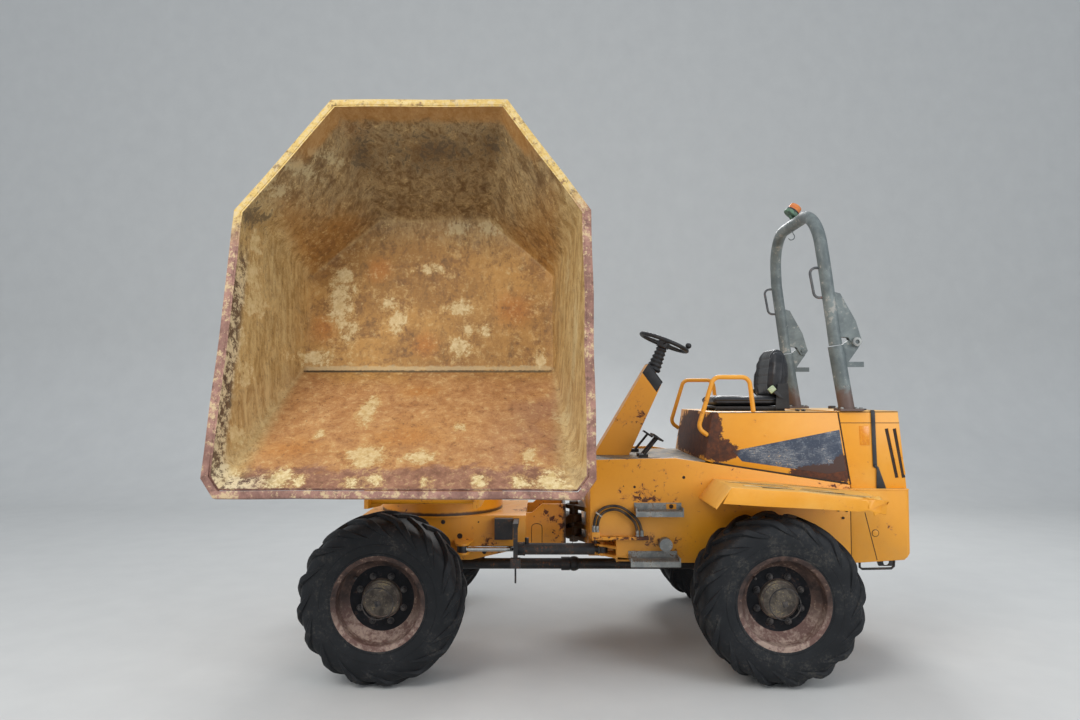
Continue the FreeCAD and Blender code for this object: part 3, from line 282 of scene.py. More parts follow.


# %% [markdown]
# The skip has lost most of its paint. Its floor is ochre steel with cream flakes where paint
# still holds, the top is darker grey-brown, partly painted shade, with dark runs, the lower slope is fresh orange
# rust, and the lip is mauve with thick flakes. The larger marks lie where the photo has them: the mesh
# stores how deep each corner lies inside one, and the noise tears the mark's edge.

# %% Skip finishes
def skip_steel(name):
    f = Finish(name)
    broad = f.noise(1.7, 6.0, 0.62, 0.3)
    middle = f.noise(5.5, 8.0, 0.75, 0.4, shift=4.0)
    small = f.noise(13.0, 9.0, 0.80, 0.3, shift=21.0)
    fine = f.noise(34.0, 9.0, 0.80, shift=9.0)
    runs = f.noise(5.0, 8.0, 0.82, 0.6, stretch=(3.4, 3.4, 0.9), shift=5.0)
    tear = (fine - 0.5) * 2.2 + (small - 0.5) * 3.4 + (middle - 0.5) * 2.2 + (runs - 0.5) * 1.4
    base = f.mix(f.step(broad, 0.36, 0.64), srgb(152, 108, 52), srgb(184, 136, 70))
    base = f.mix(f.step(small, 0.50, 0.66) * 0.55, base, srgb(194, 154, 92))
    base = f.mix(f.step(middle + (fine - 0.5) * 0.5, 0.52, 0.36) * 0.65, base, srgb(116, 76, 38))
    base = f.mix(f.step(runs + (small - 0.5) * 0.4, 0.50, 0.36) * 0.45, base, srgb(104, 74, 42))
    base = f.mix(f.step(runs + (small - 0.5) * 0.4, 0.56, 0.70) * 0.45, base, srgb(206, 176, 122))
    orange = f.step(f.stored("orange") + tear * 0.45, -0.2, 0.9)
    base = f.mix(orange * 0.55, base, srgb(182, 108, 36))
    slope = 1 - f.step(f.z + (broad - 0.5) * 0.3, 1.72, 1.92)
    rosy = f.mix(f.step(small, 0.35, 0.65), srgb(168, 112, 66), srgb(200, 150, 98))
    base = f.mix(slope * (1 - orange * 0.6) * 0.72, base, rosy)
    mauve = slope * f.step(1.0 - f.x, 0.30, 0.8) * f.step(broad, 0.4, 0.6)
    base = f.mix(mauve * 0.55, base, srgb(146, 104, 84))
    lip = 1 - f.step(f.z + (middle - 0.5) * 0.16 + (fine - 0.5) * 0.05, 1.32, 1.355)
    base = f.mix(lip * 0.8, base, f.mix(f.step(small, 0.4, 0.6), srgb(118, 80, 66), srgb(150, 106, 88)))
    side = f.step(f.x.away(0.95), 0.76, 0.86)
    khaki = f.mix(f.step(runs, 0.38, 0.62), srgb(160, 130, 76), srgb(212, 188, 134))
    base = f.mix(side * 0.70, base, khaki)
    # Painted shade: the top of the skip is darker grey-brown, with dark runs in it that are stains.
    upper = f.step(f.z + (broad - 0.5) * 0.7, 2.58, 3.02)
    base = f.mix(upper * 0.75, base, f.mix(f.step(runs, 0.40, 0.60), srgb(92, 72, 44), srgb(160, 142, 104)))
    fleck = f.step(fine * 0.6 + small * 0.4, 0.52, 0.60) * 0.5
    base = f.mix(fleck, base, srgb(204, 176, 122))
    base = f.mix(f.step(fine * 0.6 + small * 0.4, 0.47, 0.39) * 0.55, base, srgb(96, 68, 40))
    soot = f.step(f.stored("dark") * 0.8 + (runs - 0.5) * 5.0 + (fine - 0.5) * 2.0, 0.35, 0.75)
    base = f.mix(soot * 0.75, base, srgb(60, 46, 34))
    hair = f.noise(7.0, 3.0, 0.6, 3.0, stretch=(1.6, 1.6, 0.6), shift=15.0)
    scratch = f.step(hair.away(0.5), 0.014, 0.004) * (upper + side * 0.6)
    base = f.mix(scratch * 0.45, base, srgb(58, 46, 34))
    pale = f.step(f.stored("pale") * 0.8 + tear * 0.9 + (runs - 0.5) * 1.5, 0.15, 0.60)
    base = f.mix(pale * 0.5, base, srgb(190, 174, 132))
    depth = f.stored("cream") + tear * 0.85
    flake = f.step(depth, 0.30, 0.40)
    base = f.mix(f.step(depth, -0.15, 0.25) * 0.5, base, srgb(198, 160, 100))
    cream = f.mix(f.step(fine, 0.38, 0.62), srgb(196, 166, 108), srgb(226, 206, 158))
    base = f.mix(flake * (0.65 + lip * 0.3), base, cream)
    crumbs = f.step(small * 0.5 + fine * 0.6, 0.655, 0.685) * (0.35 + side * 0.5 + lip * 0.3)
    base = f.mix(crumbs, base, srgb(214, 190, 138))
    edge = f.step(f.stored("edge") + tear * 0.18, 0.15, 0.5)
    low_left = f.step(f.x, 1.5, 1.75) * (1 - f.step(f.z + tear * 0.2, 2.3, 2.65))
    band = f.mix(f.step(small + (fine - 0.5) * 0.8, 0.46, 0.56), srgb(74, 52, 44), srgb(214, 196, 158))
    base = f.mix(edge * low_left * 0.85, base, band)
    top_band = f.step(f.z + tear * 0.03, 3.0, 3.2) * edge
    base = f.mix(top_band * 0.6, base, srgb(168, 116, 52))
    # Painted highlight: a pale line along the skip's inner bends.
    crease = f.step(f.stored("crease") + tear * 0.22, 0.35, 1.0)
    base = f.mix(crease * 0.38, base, srgb(196, 168, 116))
    speck = f.step(f.cells(38.0), 0.18, 0.06) * f.step(f.stored("pit") + (middle - 0.5) * 2.0, -0.1, 0.3)
    base = f.mix(speck * 0.85, base, srgb(56, 40, 34))
    across = f.step(f.x.away(0.95), 0.80, 0.76)
    above = f.step(f.z.away(1.888) + (small - 0.5) * 0.08, 0.020, 0.008) * across
    base = f.mix(above * 0.5, base, srgb(206, 186, 142))
    weld = f.step(f.z.away(1.8665), 0.007, 0.002) * across
    base = f.mix(weld * 0.8, base, srgb(70, 66, 50))
    rough = 0.68 + (fine - 0.5) * 0.3 - flake * 0.12
    dent = f.bump(f.noise(2.2, 2.0, 0.5), 0.5, 0.03)
    normal = f.bump(fine * 0.6 + flake * 0.4 + small * 0.6 - speck * 0.6, 0.5, 0.004, dent)
    return f.done(base, rough, 0.0, normal)


def skip_rim_paint(name):
    """The folded rim: mauve rust below, worn yellow along the top and the slanted corners."""
    f = Finish(name)
    fine = f.noise(34.0, 8.0, 0.8)
    middle = f.noise(6.0, 7.0, 0.75, shift=3.0)
    base = f.mix(f.step(middle, 0.35, 0.65), srgb(120, 84, 72), srgb(170, 126, 110))
    high = f.step(f.z + (middle - 0.5) * 0.25 + (f.x - 0.95) * 0.10, 2.62, 2.84)
    paint = f.mix(f.step(fine, 0.4, 0.65), srgb(204, 170, 92), srgb(222, 198, 140))
    base = f.mix(high * f.step(fine * 0.7 + middle * 0.5, 0.44, 0.58), base, paint)
    chip = f.step(fine * 0.7 + middle * 0.4, 0.575, 0.61)
    base = f.mix(chip * 0.8, base, srgb(204, 180, 136))
    base = f.mix(f.step(f.noise(22.0, 8.0, 0.8, shift=8.0), 0.54, 0.62) * 0.65, base, srgb(88, 60, 48))
    normal = f.bump(fine, 0.4, 0.003)
    return f.done(base, 0.62 + fine * 0.15, 0.0, normal)


# %% [markdown]
# Rubber, bare rims, castings and small steel parts follow. Each has two or three tones, so
# that no surface is one flat colour.

# %% Rubber, castings and bare metal
def tyre_rubber(name):
    f = Finish(name)
    dust = f.noise(7.0, 6.0, 0.7)
    fine = f.noise(60.0, 6.0, 0.7, shift=2.0)
    base = f.mix(f.step(dust, 0.35, 0.8), srgb(15, 17, 20), srgb(31, 33, 36))
    base = f.mix(f.step(fine * 0.5 + dust * 0.5, 0.52, 0.66) * 0.35, base, srgb(92, 86, 76))
    normal = f.bump(fine + f.step(f.cells(90.0), 0.0, 0.3) * 0.3, 0.25, 0.002)
    return f.done(base, 0.50 + dust * 0.25, 0.0, normal, Specular_IOR_Level=0.3)


def wheel_steel(name):
    """Rusty rim paint, pale and pink towards the ground, its upper barrel nearly black as painted shade, with pale
    wear chips.
    """
    f = Finish(name)
    cloud = f.noise(8.0, 7.0, 0.7, 0.3)
    fine = f.noise(50.0, 6.0, 0.7, shift=5.0)
    base = f.mix(f.step(cloud, 0.38, 0.64), srgb(44, 36, 34), srgb(86, 66, 58))
    lower_barrel_tone = f.mix(f.step(fine * 0.4 + cloud * 0.6, 0.44, 0.58), srgb(112, 84, 76), srgb(172, 150, 136))
    # Painted shade: above this height the barrel keeps its nearly black tone, and only the lower barrel shows its
    # pale, pink rust.
    base = f.mix((1 - f.step(f.z + (cloud - 0.5) * 0.35, 0.34, 0.52)) * 0.75, base, lower_barrel_tone)
    base = f.mix(f.step(cloud * 0.5 + fine * 0.6, 0.62, 0.68) * 0.6, base, srgb(150, 128, 112))
    return f.done(base, 0.65 + (fine - 0.5) * 0.25, 0.1, f.bump(fine, 0.4, 0.002), Specular_IOR_Level=0.3)


def two_tone(name, first, second, scale=9.0, rough=0.6, metal=0.0, grit=0.3, third=None, rust_below=None,
             shine=0.5):
    """A worn finish of two colours in clouds, a third in chips, fine grit, and rust up to a height."""
    f = Finish(name)
    cloud = f.noise(scale, 7.0, 0.7, 0.3)
    fine = f.noise(scale * 7, 6.0, 0.7, shift=5.0)
    base = f.mix(f.step(cloud, 0.38, 0.64), first, second)
    if third:
        base = f.mix(f.step(cloud * 0.5 + fine * 0.6, 0.60, 0.66), base, third)
    if rust_below:
        high = f.step(f.z + (cloud - 0.5) * 0.5, rust_below - 0.10, rust_below)
        base = f.mix((1 - high) * 0.7, base, srgb(98, 64, 48))
    return f.done(base, rough + (fine - 0.5) * 0.25, metal, f.bump(fine, grit, 0.002),
                  Specular_IOR_Level=shine)


def decal(name):
    """Slate-blue film with pale scratches, speckled where it has worn through to the paint."""
    f = Finish(name)
    cloud = f.noise(6.0, 6.0, 0.7)
    fine = f.noise(60.0, 8.0, 0.8, shift=3.0)
    base = f.mix(f.step(cloud, 0.35, 0.65), srgb(50, 60, 78), srgb(74, 84, 100))
    base = f.mix(f.step(fine, 0.55, 0.64) * 0.6, base, srgb(128, 138, 146))
    for turn, shift in ((0.5, 4.0), (-0.9, 11.0), (1.4, 19.0)):
        at = f.node("ShaderNodeMapping", Vector=f.place, Rotation=(0, turn, 0), Scale=(2.0, 1.0, 26.0),
                    Location=(shift, 0, shift))
        hair = f.node("ShaderNodeTexNoise", Vector=at, Scale=5.0, Detail=2.0)
        base = f.mix(f.step(hair.away(0.5), 0.016, 0.004) * f.step(cloud, 0.40, 0.6) * 0.6, base,
                     srgb(188, 190, 188))
    base = f.mix(f.step(fine * 0.6 + cloud * 0.4, 0.585, 0.60), base, srgb(196, 158, 96))
    depth = f.spots(COVER_RUST) + (fine - 0.5) * 1.1 + (f.noise(3.4, 4.0, 0.6, shift=7.0) - 0.5) * 0.8
    base = f.mix(f.step(depth, 0.10, 0.16), base, RUST_DARK)
    return f.done(base, 0.45 + (fine - 0.5) * 0.3, 0.0, f.bump(fine, 0.1, 0.001))


finishes = {
    "paint": yellow_paint("yellow_paint", 0.35, 0.55),
    "deck_paint": yellow_paint("deck_paint", 0.55, 0.55, 1.0),
    "tail_paint": yellow_paint("tail_paint", 0.22, 1.25, 0.9),
    "cover_paint": yellow_paint("cover_paint", 0.15, 0.7, 0.8, spots=COVER_RUST),
    # A black patch over the frames' ends at the articulation.
    "chassis_paint": yellow_paint("chassis_paint", 0.62, 0.25, 1.0, black_patches=[
        ((0.01, 0.0, 0.80), (0.100, 0.52, 0.9))]),
    # Painted shade: the black band at the slew ring's base paints the shadow under its flange.
    "ring_paint": yellow_paint("ring_paint", 0.5, 0.4, 0.9, black_patches=[((0.95, 0.0, 0.865), (3.0, 3.0, 0.068))]),
    "post_paint": two_tone("post_paint", srgb(84, 92, 92), srgb(116, 124, 122), 4.0, 0.5, 0.0, 0.12,
                           srgb(150, 148, 140), rust_below=1.80),
    "grab": two_tone("grab_paint", srgb(70, 72, 74), srgb(104, 104, 102), 9.0, 0.5, 0.1, 0.2, srgb(132, 62, 54)),
    "buckle": two_tone("green_buckle", srgb(146, 170, 120), srgb(176, 190, 160), 40.0, 0.4, 0.0, 0.1),
    "rust_paint": yellow_paint("rust_paint", 1.5, 0.3, 0.8),
    "scuff": two_tone("fender_scuff", srgb(208, 178, 122), srgb(232, 212, 164), 18.0, 0.6, 0.0, 0.3,
                      srgb(88, 66, 44)),
    "skip_inside": skip_steel("skip_inside"),
    "skip_outside": yellow_paint("skip_outside", 0.9, 0.8, 1.6),
    "rim_paint": skip_rim_paint("skip_rim_paint"),
    "tyre": tyre_rubber("tyre_rubber"),
    "wheel_rim": wheel_steel("wheel_rim"),
    "nut": two_tone("worn_nuts", srgb(32, 31, 33), srgb(76, 70, 66), 30.0, 0.55, 0.4, 0.3),
    "hub": two_tone("hub_casting", srgb(56, 50, 45), srgb(96, 88, 78), 14.0, 0.7, 0.1, 0.5,
                    srgb(126, 112, 84), shine=0.3),
    # Painted shade: the dish's near-black tones paint the shade in the recessed dish.
    "rim_dish": two_tone("rim_dish", srgb(10, 11, 14), srgb(24, 24, 28), 10.0, 0.7, 0.0, 0.4,
                         srgb(58, 46, 41), shine=0.2),
    "hoop_paint": two_tone("hoop_paint", srgb(84, 92, 92), srgb(116, 124, 122), 4.0, 0.5, 0.0, 0.12,
                           srgb(150, 148, 140)),
    "dark": two_tone("black_steel", srgb(30, 30, 32), srgb(52, 48, 44), 10.0, 0.5, 0.0, 0.2,
                     srgb(110, 66, 40)),
    "cast": two_tone("rust_casting", srgb(58, 44, 36), srgb(98, 70, 50), 10.0, 0.8, 0.1, 0.5),
    "galvanised": two_tone("galvanised", srgb(128, 130, 128), srgb(164, 164, 158), 12.0, 0.5, 0.6, 0.2,
                           srgb(120, 84, 56)),
    "steel_deck": two_tone("steel_deck", srgb(92, 84, 74), srgb(128, 116, 96), 9.0, 0.6, 0.4, 0.3,
                           srgb(196, 150, 70)),
    "chrome": two_tone("ram_chrome", srgb(176, 176, 172), srgb(200, 200, 198), 20.0, 0.16, 1.0, 0.02),
    "plastic": two_tone("black_plastic", srgb(26, 27, 29), srgb(44, 44, 45), 12.0, 0.5, 0.0, 0.15),
    "seat": two_tone("seat_vinyl", srgb(27, 28, 31), srgb(42, 43, 46), 10.0, 0.42, 0.0, 0.2),
    "hose": two_tone("hose_rubber", srgb(38, 35, 32), srgb(88, 72, 56), 14.0, 0.75, 0.0, 0.3),
    "amber": two_tone("amber_lens", srgb(196, 104, 44), srgb(216, 132, 66), 18.0, 0.4, 0.0, 0.15),
    "green": two_tone("green_base", srgb(40, 62, 50), srgb(96, 128, 104), 22.0, 0.5, 0.0, 0.15),
    "white": two_tone("white_tie", srgb(196, 192, 182), srgb(160, 152, 140), 40.0, 0.5),
    "slot": two_tone("dark_gap", srgb(38, 27, 20), srgb(58, 40, 28), 14.0, 0.8),
    "decal": decal("bare_blue_panel"),
    "reflector": two_tone("amber_reflector", srgb(214, 128, 14), srgb(226, 148, 30), 60.0, 0.25, 0.0, 0.1),
    "red_chips": two_tone("red_brown", srgb(120, 58, 46), srgb(90, 84, 80), 12.0, 0.6, 0.0, 0.2),
}
print("finishes", len(finishes))

# %% [markdown]
# ## Small shapes
# Everything is built in metres in the frame's own place, so each object stays at the origin.
# A few bmesh helpers cover boxes, rods, plates, lathe work and tubes. A bevel of a few
# millimetres on each sharp edge is what makes a plate read as steel.

# %% Mesh helpers
collection = bpy.context.scene.collection
SHARP = math.radians(32)


def crisp(bm, width, segments=2):
    """Bevel the edges that turn sharply."""
    if width > 0:
        sharp = [e for e in bm.edges if len(e.link_faces) == 2 and e.calc_face_angle(0) > SHARP
                 and e.calc_length() > 1.5 * width]
        bmesh.ops.bevel(bm, geom=sharp, offset=width, segments=segments, profile=0.5,
                        affect="EDGES", clamp_overlap=False)


def finish_piece(name, bm, body, finish, bevel=0.0, smooth=True, replaced=()):
    """Turn a bmesh into a shown object that rides on a body."""
    bmesh.ops.remove_doubles(bm, verts=bm.verts, dist=0.00002)
    crisp(bm, bevel)
    for edge in bm.edges:
        edge.smooth = len(edge.link_faces) != 2 or edge.calc_face_angle(0) < SHARP
    for face in bm.faces:
        face.smooth = smooth
    mesh = bpy.data.meshes.new(name)
    bm.to_mesh(mesh)
    bm.free()
    obj = bpy.data.objects.new(name, mesh)
    collection.objects.link(obj)
    for entry in finish if isinstance(finish, (list, tuple)) else [finish]:
        mesh.materials.append(finishes[entry])
    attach(obj, body)
    if replaced:
        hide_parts(*replaced)
    return obj


def add_box(bm, low, high, turn=None):
    """A box between two corners; turn is (pivot, axis, degrees)."""
    low, high = Vector(low), Vector(high)
    size = high - low
    place = Matrix.Translation((low + high) / 2) @ Matrix.Diagonal((*size, 1.0))
    if turn:
        pivot, axis, degrees = turn
        place = (Matrix.Translation(pivot) @ Matrix.Rotation(math.radians(degrees), 4, axis)
                 @ Matrix.Translation(-Vector(pivot)) @ place)
    return bmesh.ops.create_cube(bm, size=1.0, matrix=place)["verts"]


def add_rod(bm, start, end, radius, sides=20, radius_end=None):
    """A cylinder or cone between two points."""
    start, end = Vector(start), Vector(end)
    along = end - start
    place = Matrix.Translation((start + end) / 2) @ along.to_track_quat("Z", "Y").to_matrix().to_4x4()
    bmesh.ops.create_cone(bm, cap_ends=True, segments=sides, radius1=radius,
                          radius2=radius if radius_end is None else radius_end,
                          depth=along.length, matrix=place)


def add_plate(bm, outline, offset):
    """A flat plate: an outline of points pushed along a vector."""
    verts = [bm.verts.new(p) for p in outline]
    face = bm.faces.new(verts)
    pushed = bmesh.ops.extrude_face_region(bm, geom=[face])["geom"]
    bmesh.ops.translate(bm, verts=[v for v in pushed if isinstance(v, bmesh.types.BMVert)],
                        vec=Vector(offset))
    bmesh.ops.recalc_face_normals(bm, faces=bm.faces)


def add_lathe(bm, profile, centre, axis, sides=48):
    """Turn a profile of (radius, along) about an axis through a centre."""
    axis = Vector(axis).normalized()
    side = axis.orthogonal().normalized()
    points = [Vector(centre) + axis * along + side * radius for radius, along in profile]
    verts = [bm.verts.new(p) for p in points]
    edges = [bm.edges.new(pair) for pair in zip(verts, verts[1:])]
    bmesh.ops.spin(bm, geom=verts + edges, cent=Vector(centre), axis=axis, angle=math.tau,
                   steps=sides, use_duplicate=False)


def add_tube(bm, points, radius, sides=12, closed=False):
    """A round tube through points, its section carried along without twist."""
    points = [Vector(p) for p in points]
    count = len(points)
    normal = None
    rings = []
    for i, point in enumerate(points):
        before = points[i - 1] if i or closed else point
        after = points[(i + 1) % count] if i + 1 < count or closed else point
        along = (after - before).normalized()
        normal = along.orthogonal().normalized() if normal is None else (
            normal - along * normal.dot(along)).normalized()
        across = along.cross(normal)
        rings.append([bm.verts.new(point + (normal * math.cos(a) + across * math.sin(a)) * radius)
                      for a in [math.tau * k / sides for k in range(sides)]])
    pairs = list(zip(rings, rings[1:])) + ([(rings[-1], rings[0])] if closed else [])
    for one, two in pairs:
        for k in range(sides):
            bm.faces.new((one[k], one[(k + 1) % sides], two[(k + 1) % sides], two[k]))
    if not closed:
        bm.faces.new(rings[0][::-1])
        bm.faces.new(rings[-1])


def curve_points(points, each=8):
    """A smooth path through points, as a list of places."""
    points = [Vector(p) for p in points]
    padded = [2 * points[0] - points[1], *points, 2 * points[-1] - points[-2]]
    path = []
    for a, b, c, d in zip(padded, padded[1:], padded[2:], padded[3:]):
        for k in range(each):
            t = k / each
            path.append(0.5 * (2 * b + (c - a) * t + (2 * a - 5 * b + 4 * c - d) * t * t
                               + (3 * b - a - 3 * c + d) * t ** 3))
    return path + [points[-1]]


def add_bolt(bm, place, facing, size=0.012, head=0.008, washer=True):
    """A hexagon head, with a washer, on a surface."""
    place, facing = Vector(place), Vector(facing).normalized()
    if washer:
        add_rod(bm, place - facing * 0.002, place + facing * 0.002, size * 1.35, 20)
    add_rod(bm, place, place + facing * head, size, 6)


def cut_up(bm, pace):
    """Cut a mesh across all three axes about every pace, so that it can take dents."""
    for axis in range(3):
        along = [v.co[axis] for v in bm.verts]
        low, high = min(along), max(along)
        count = int((high - low) / pace)
        for k in range(1, count + 1):
            at, way = Vector(), Vector()
            at[axis] = low + (high - low) * k / (count + 1)
            way[axis] = 1.0
            bmesh.ops.bisect_plane(bm, geom=bm.verts[:] + bm.edges[:] + bm.faces[:], plane_co=at,
                                   plane_no=way)


def dent(bm, depth, size, seed=0.0):
    """Push every corner a little along a slow noise, so that long edges aren't ruler-straight."""
    for vert in bm.verts:
        vert.co += noise.noise_vector(vert.co / size + Vector((seed, seed, seed))) * depth


def crumple(bm, centre, reach, depth):
    """Crush a corner: finer cuts near a place, then a rough push that fades with distance."""
    near = [e for e in bm.edges if min((v.co - centre).length for v in e.verts) < reach]
    bmesh.ops.subdivide_edges(bm, edges=near, cuts=3, use_grid_fill=True)
    for vert in bm.verts:
        share = max(0.0, 1 - (vert.co - centre).length / reach)
        push = noise.noise_vector(vert.co / 0.035) * depth
        vert.co += Vector((push.x, -abs(push.y) * 1.2, push.z)) * share


# %% [markdown]
# The frame's own meshes come as fine triangles. For welded steel they are welded up, flat
# areas are merged to whole faces, and the sharp edges get their bevel. The result stands in
# for the frame's piece at exactly the same place.

# %% Refined copies of the frame's steel pieces
def refine(node, finish, bevel=0.003, body=None, change=None, dents=0.0):
    source = nodes[node]
    bm = bmesh.new()
    bm.from_mesh(source.data)
    bm.transform(source.matrix_world)
    bmesh.ops.remove_doubles(bm, verts=bm.verts, dist=0.00005)
    bmesh.ops.dissolve_limit(bm, angle_limit=math.radians(0.6), verts=bm.verts, edges=bm.edges,
                             use_dissolve_boundaries=False)
    if change:
        change(bm)
    if dents:
        cut_up(bm, 0.12)
        dent(bm, dents, 0.35)
    if node == "fender_left":
        crumple(bm, Vector((-1.80, 1.09, 1.05)), 0.20, 0.050)
    return finish_piece(f"{node}_shown", bm, body or body_of(source)[0], finish, bevel,
                        replaced=(node,))


refined = {
    "rear_frame": ("chassis_paint", "paint", 0.003, 0.0),
    "footplate": ("steel_deck", "paint", 0.002, 0.0),
    "counterweight": ("tail_paint", "paint", 0.006, 0.0),
    "engine_cover": ("cover_paint", "paint", 0.006, 0.0),
    "tail_cover": ("tail_paint", "paint", 0.006, 0.0),
    "fender_left": ("tail_paint", "paint", 0.002, 0.005),
    "fender_right": ("tail_paint", "paint", 0.002, 0.005),
    "front_frame": ("chassis_paint", "paint", 0.003, 0.0),
    "turntable_frame": ("chassis_paint", "paint", 0.003, 0.0),
    "skip_rim": ("rim_paint", "paint", 0.003, 0.005),
    "skip_subframe": ("chassis_paint", "paint", 0.003, 0.0),
}

# %% Dress the frame's pieces
for node, (finish, slot_name, width, dents) in refined.items():
    refine(node, finish, width, dents=dents)


def dress(node, finish):
    """A frame piece shown as it is, with a finish of its own."""
    mesh = nodes[node].data
    mesh.materials.clear()
    mesh.materials.append(finishes[finish])


for node, finish in (
        ("rear_axle", "cast"), ("front_axle", "cast"), ("rear_propshaft", "dark"),
        ("front_propshaft", "dark"), ("engine_block", "cast"), ("rear_hitch", "dark"),
        ("lashing_plates", "dark"), ("slew_ring", "ring_paint"), ("lock_bar", "dark"),
        ("valve_box", "dark"), ("steps", "galvanised"), ("steering_column", "paint"),
        ("steering_wheel", "plastic"), ("pedals", "dark"), ("seat_base", "plastic"),
        ("seat_cushion", "seat"), ("seat_back", "seat"), ("handrails", "paint"),
        ("rops_posts", "post_paint"), ("hoop", "hoop_paint"), ("grab_handles", "grab"),
        ("beacon", "amber"), ("steer_barrel", "dark"),
        ("tip_barrel", "dark")):
    dress(node, finish)


def eye_ends(node, body, far):
    """A chrome rod whose eye, beyond a place along it, is dark steel."""
    def zones(bm):
        for face in bm.faces:
            face.material_index = 1 if far(face.calc_center_median()) else 0
    refine(node, ["chrome", "dark"], 0.0008, body, zones)


eye_ends("steer_rod", "steer_rod", lambda place: place.x > 0.722)
eye_ends("tip_rod", "tip_rod", lambda place: place.y > 0.835)

# %% [markdown]
# ## Tyres
# A worn cross-ply tractor tyre: sixteen bars a side, each running back from the middle of the
# tread over the shoulder and dying out on the sidewall. One bar is a strip of sections along
# a path given as place, angle, height and width; the loop turns it round the wheel and
# mirrors it half a pitch on.

# %% Tyre and lugs
TRACK_HALF = 0.8875
AXLE_X = 1.19
AXLE_Z = 0.5
LUGS = 16
CARCASS = [(0.252, 0.163), (0.262, 0.180), (0.285, 0.190), (0.330, 0.197), (0.380, 0.1975),
           (0.425, 0.190), (0.455, 0.170), (0.469, 0.130), (0.475, 0.070), (0.477, 0.0)]
# place across, radius of the top, angle in degrees, height, half width along the tread
LUG_PATH = [(-0.014, 0.4995, 26.45, 0.030, 0.017), (0.040, 0.4995, 21.45, 0.030, 0.019),
            (0.090, 0.498, 15.95, 0.031, 0.021), (0.135, 0.494, 10.95, 0.033, 0.024),
            (0.170, 0.483, 6.95, 0.036, 0.027), (0.192, 0.460, 3.45, 0.034, 0.029),
            (0.202, 0.430, -1.05, 0.026, 0.028), (0.203, 0.405, -6.55, 0.016, 0.022),
            (0.1995, 0.383, -13.55, 0.006, 0.010)]


def smooth_rows(rows, each=3):
    """More rows between the given ones, along a smooth curve through them."""
    out = []
    ends = [rows[0], *rows, rows[-1]]
    for a, b, c, d in zip(ends, ends[1:], ends[2:], ends[3:]):
        for k in range(each):
            t = k / each
            out.append([0.5 * (2 * q + (r - p) * t + (2 * p - 5 * q + 4 * r - s) * t * t
                               + (3 * q - p - 3 * r + s) * t ** 3) for p, q, r, s in zip(a, b, c, d)])
    return out + [list(rows[-1])]


def add_lug(bm, centre, side, turn, rows, worn):
    """One bar: a ring of eight points per row, joined along the rows."""
    rings = []
    for i, (across, radius, angle, height, half) in enumerate(rows):
        ahead = rows[min(i + 1, len(rows) - 1)]
        behind = rows[max(i - 1, 0)]
        slope = Vector((ahead[0] - behind[0], ahead[1] - behind[1])).normalized()
        out = Vector((-slope.y, slope.x))
        if out.y < 0 and abs(out.y) > abs(out.x):
            out = -out
        if out.x < 0 and abs(out.x) > abs(out.y):
            out = -out
        foot = half * 1.45
        ring = []
        for along, rise in ((-foot, -height - 0.01), (-foot, -height * 0.85), (-half, -0.004),
                            (-half * 0.8, 0.0), (half * 0.8, 0.0), (half, -0.004),
                            (foot, -height * 0.85), (foot, -height - 0.01)):
            lift = rise - (worn if rise > -0.005 else 0.0)
            r = radius + out.y * lift
            y = across + out.x * lift
            a = math.radians(angle + turn) + along / radius
            ring.append(bm.verts.new((centre[0] - r * math.cos(a), centre[1] + side * y,
                                      centre[2] + r * math.sin(a))))
        rings.append(ring)
    for one, two in zip(rings, rings[1:]):
        for k in range(8):
            bm.faces.new((one[k], one[(k + 1) % 8], two[(k + 1) % 8], two[k]))
    bm.faces.new(rings[0])
    bm.faces.new(rings[-1])


def tyre(end, side_name, seed):
    chance = random.Random(seed)
    side = 1 if side_name == "left" else -1
    centre = (AXLE_X if end == "front" else -AXLE_X, side * TRACK_HALF, AXLE_Z)
    bm = bmesh.new()
    profile = smooth_rows(CARCASS, 4)
    whole = [(r, y) for r, y in profile] + [(r, -y) for r, y in profile[-2::-1]]
    whole += [(0.249, -0.150), (0.249, 0.150), whole[0]]
    add_lathe(bm, whole, centre, (0, 1, 0), 96)
    rows = smooth_rows(LUG_PATH, 3)
    pitch = 360.0 / LUGS
    for k in range(LUGS):
        add_lug(bm, centre, side, k * pitch, rows, chance.uniform(0.0, 0.0035))
        add_lug(bm, centre, -side, (k + 0.5) * pitch, rows, chance.uniform(0.0, 0.0035))
    for radius, across, thick in ((0.345, 0.1975, 0.0022), (0.290, 0.1912, 0.003)):
        for way in (1, -1):
            add_tube(bm, [(centre[0] + radius * math.cos(math.tau * k / 96), centre[1] + way * across,
                           centre[2] + radius * math.sin(math.tau * k / 96)) for k in range(96)],
                     thick, 6, closed=True)
    bmesh.ops.remove_doubles(bm, verts=bm.verts, dist=0.00002)
    bmesh.ops.recalc_face_normals(bm, faces=bm.faces)
    node = f"tyre_{end}_{side_name}"
    finish_piece(f"{node}_shown", bm, f"wheel_{end}_{side_name}", "tyre", replaced=(node,))


for n, (end, side_name) in enumerate((e, s) for e in ("front", "rear") for s in ("left", "right")):
    tyre(end, side_name, 40 + n)

# %% [markdown]
# ## Rims
# The rim's barrel, dish and hub come from the frame. The dish takes a near-black finish that is painted shade of
# its recess, the hub a darker casting finish, and a ring of nuts, the studs' ends, a hub cap with a chamfer and a
# valve stem give the eye something to measure the wheel by.

# %% Rims and hubs
NUTS = 8
NUT_CIRCLE = 0.142
RIM_FINISHES = ["wheel_rim", "rim_dish", "hub"]


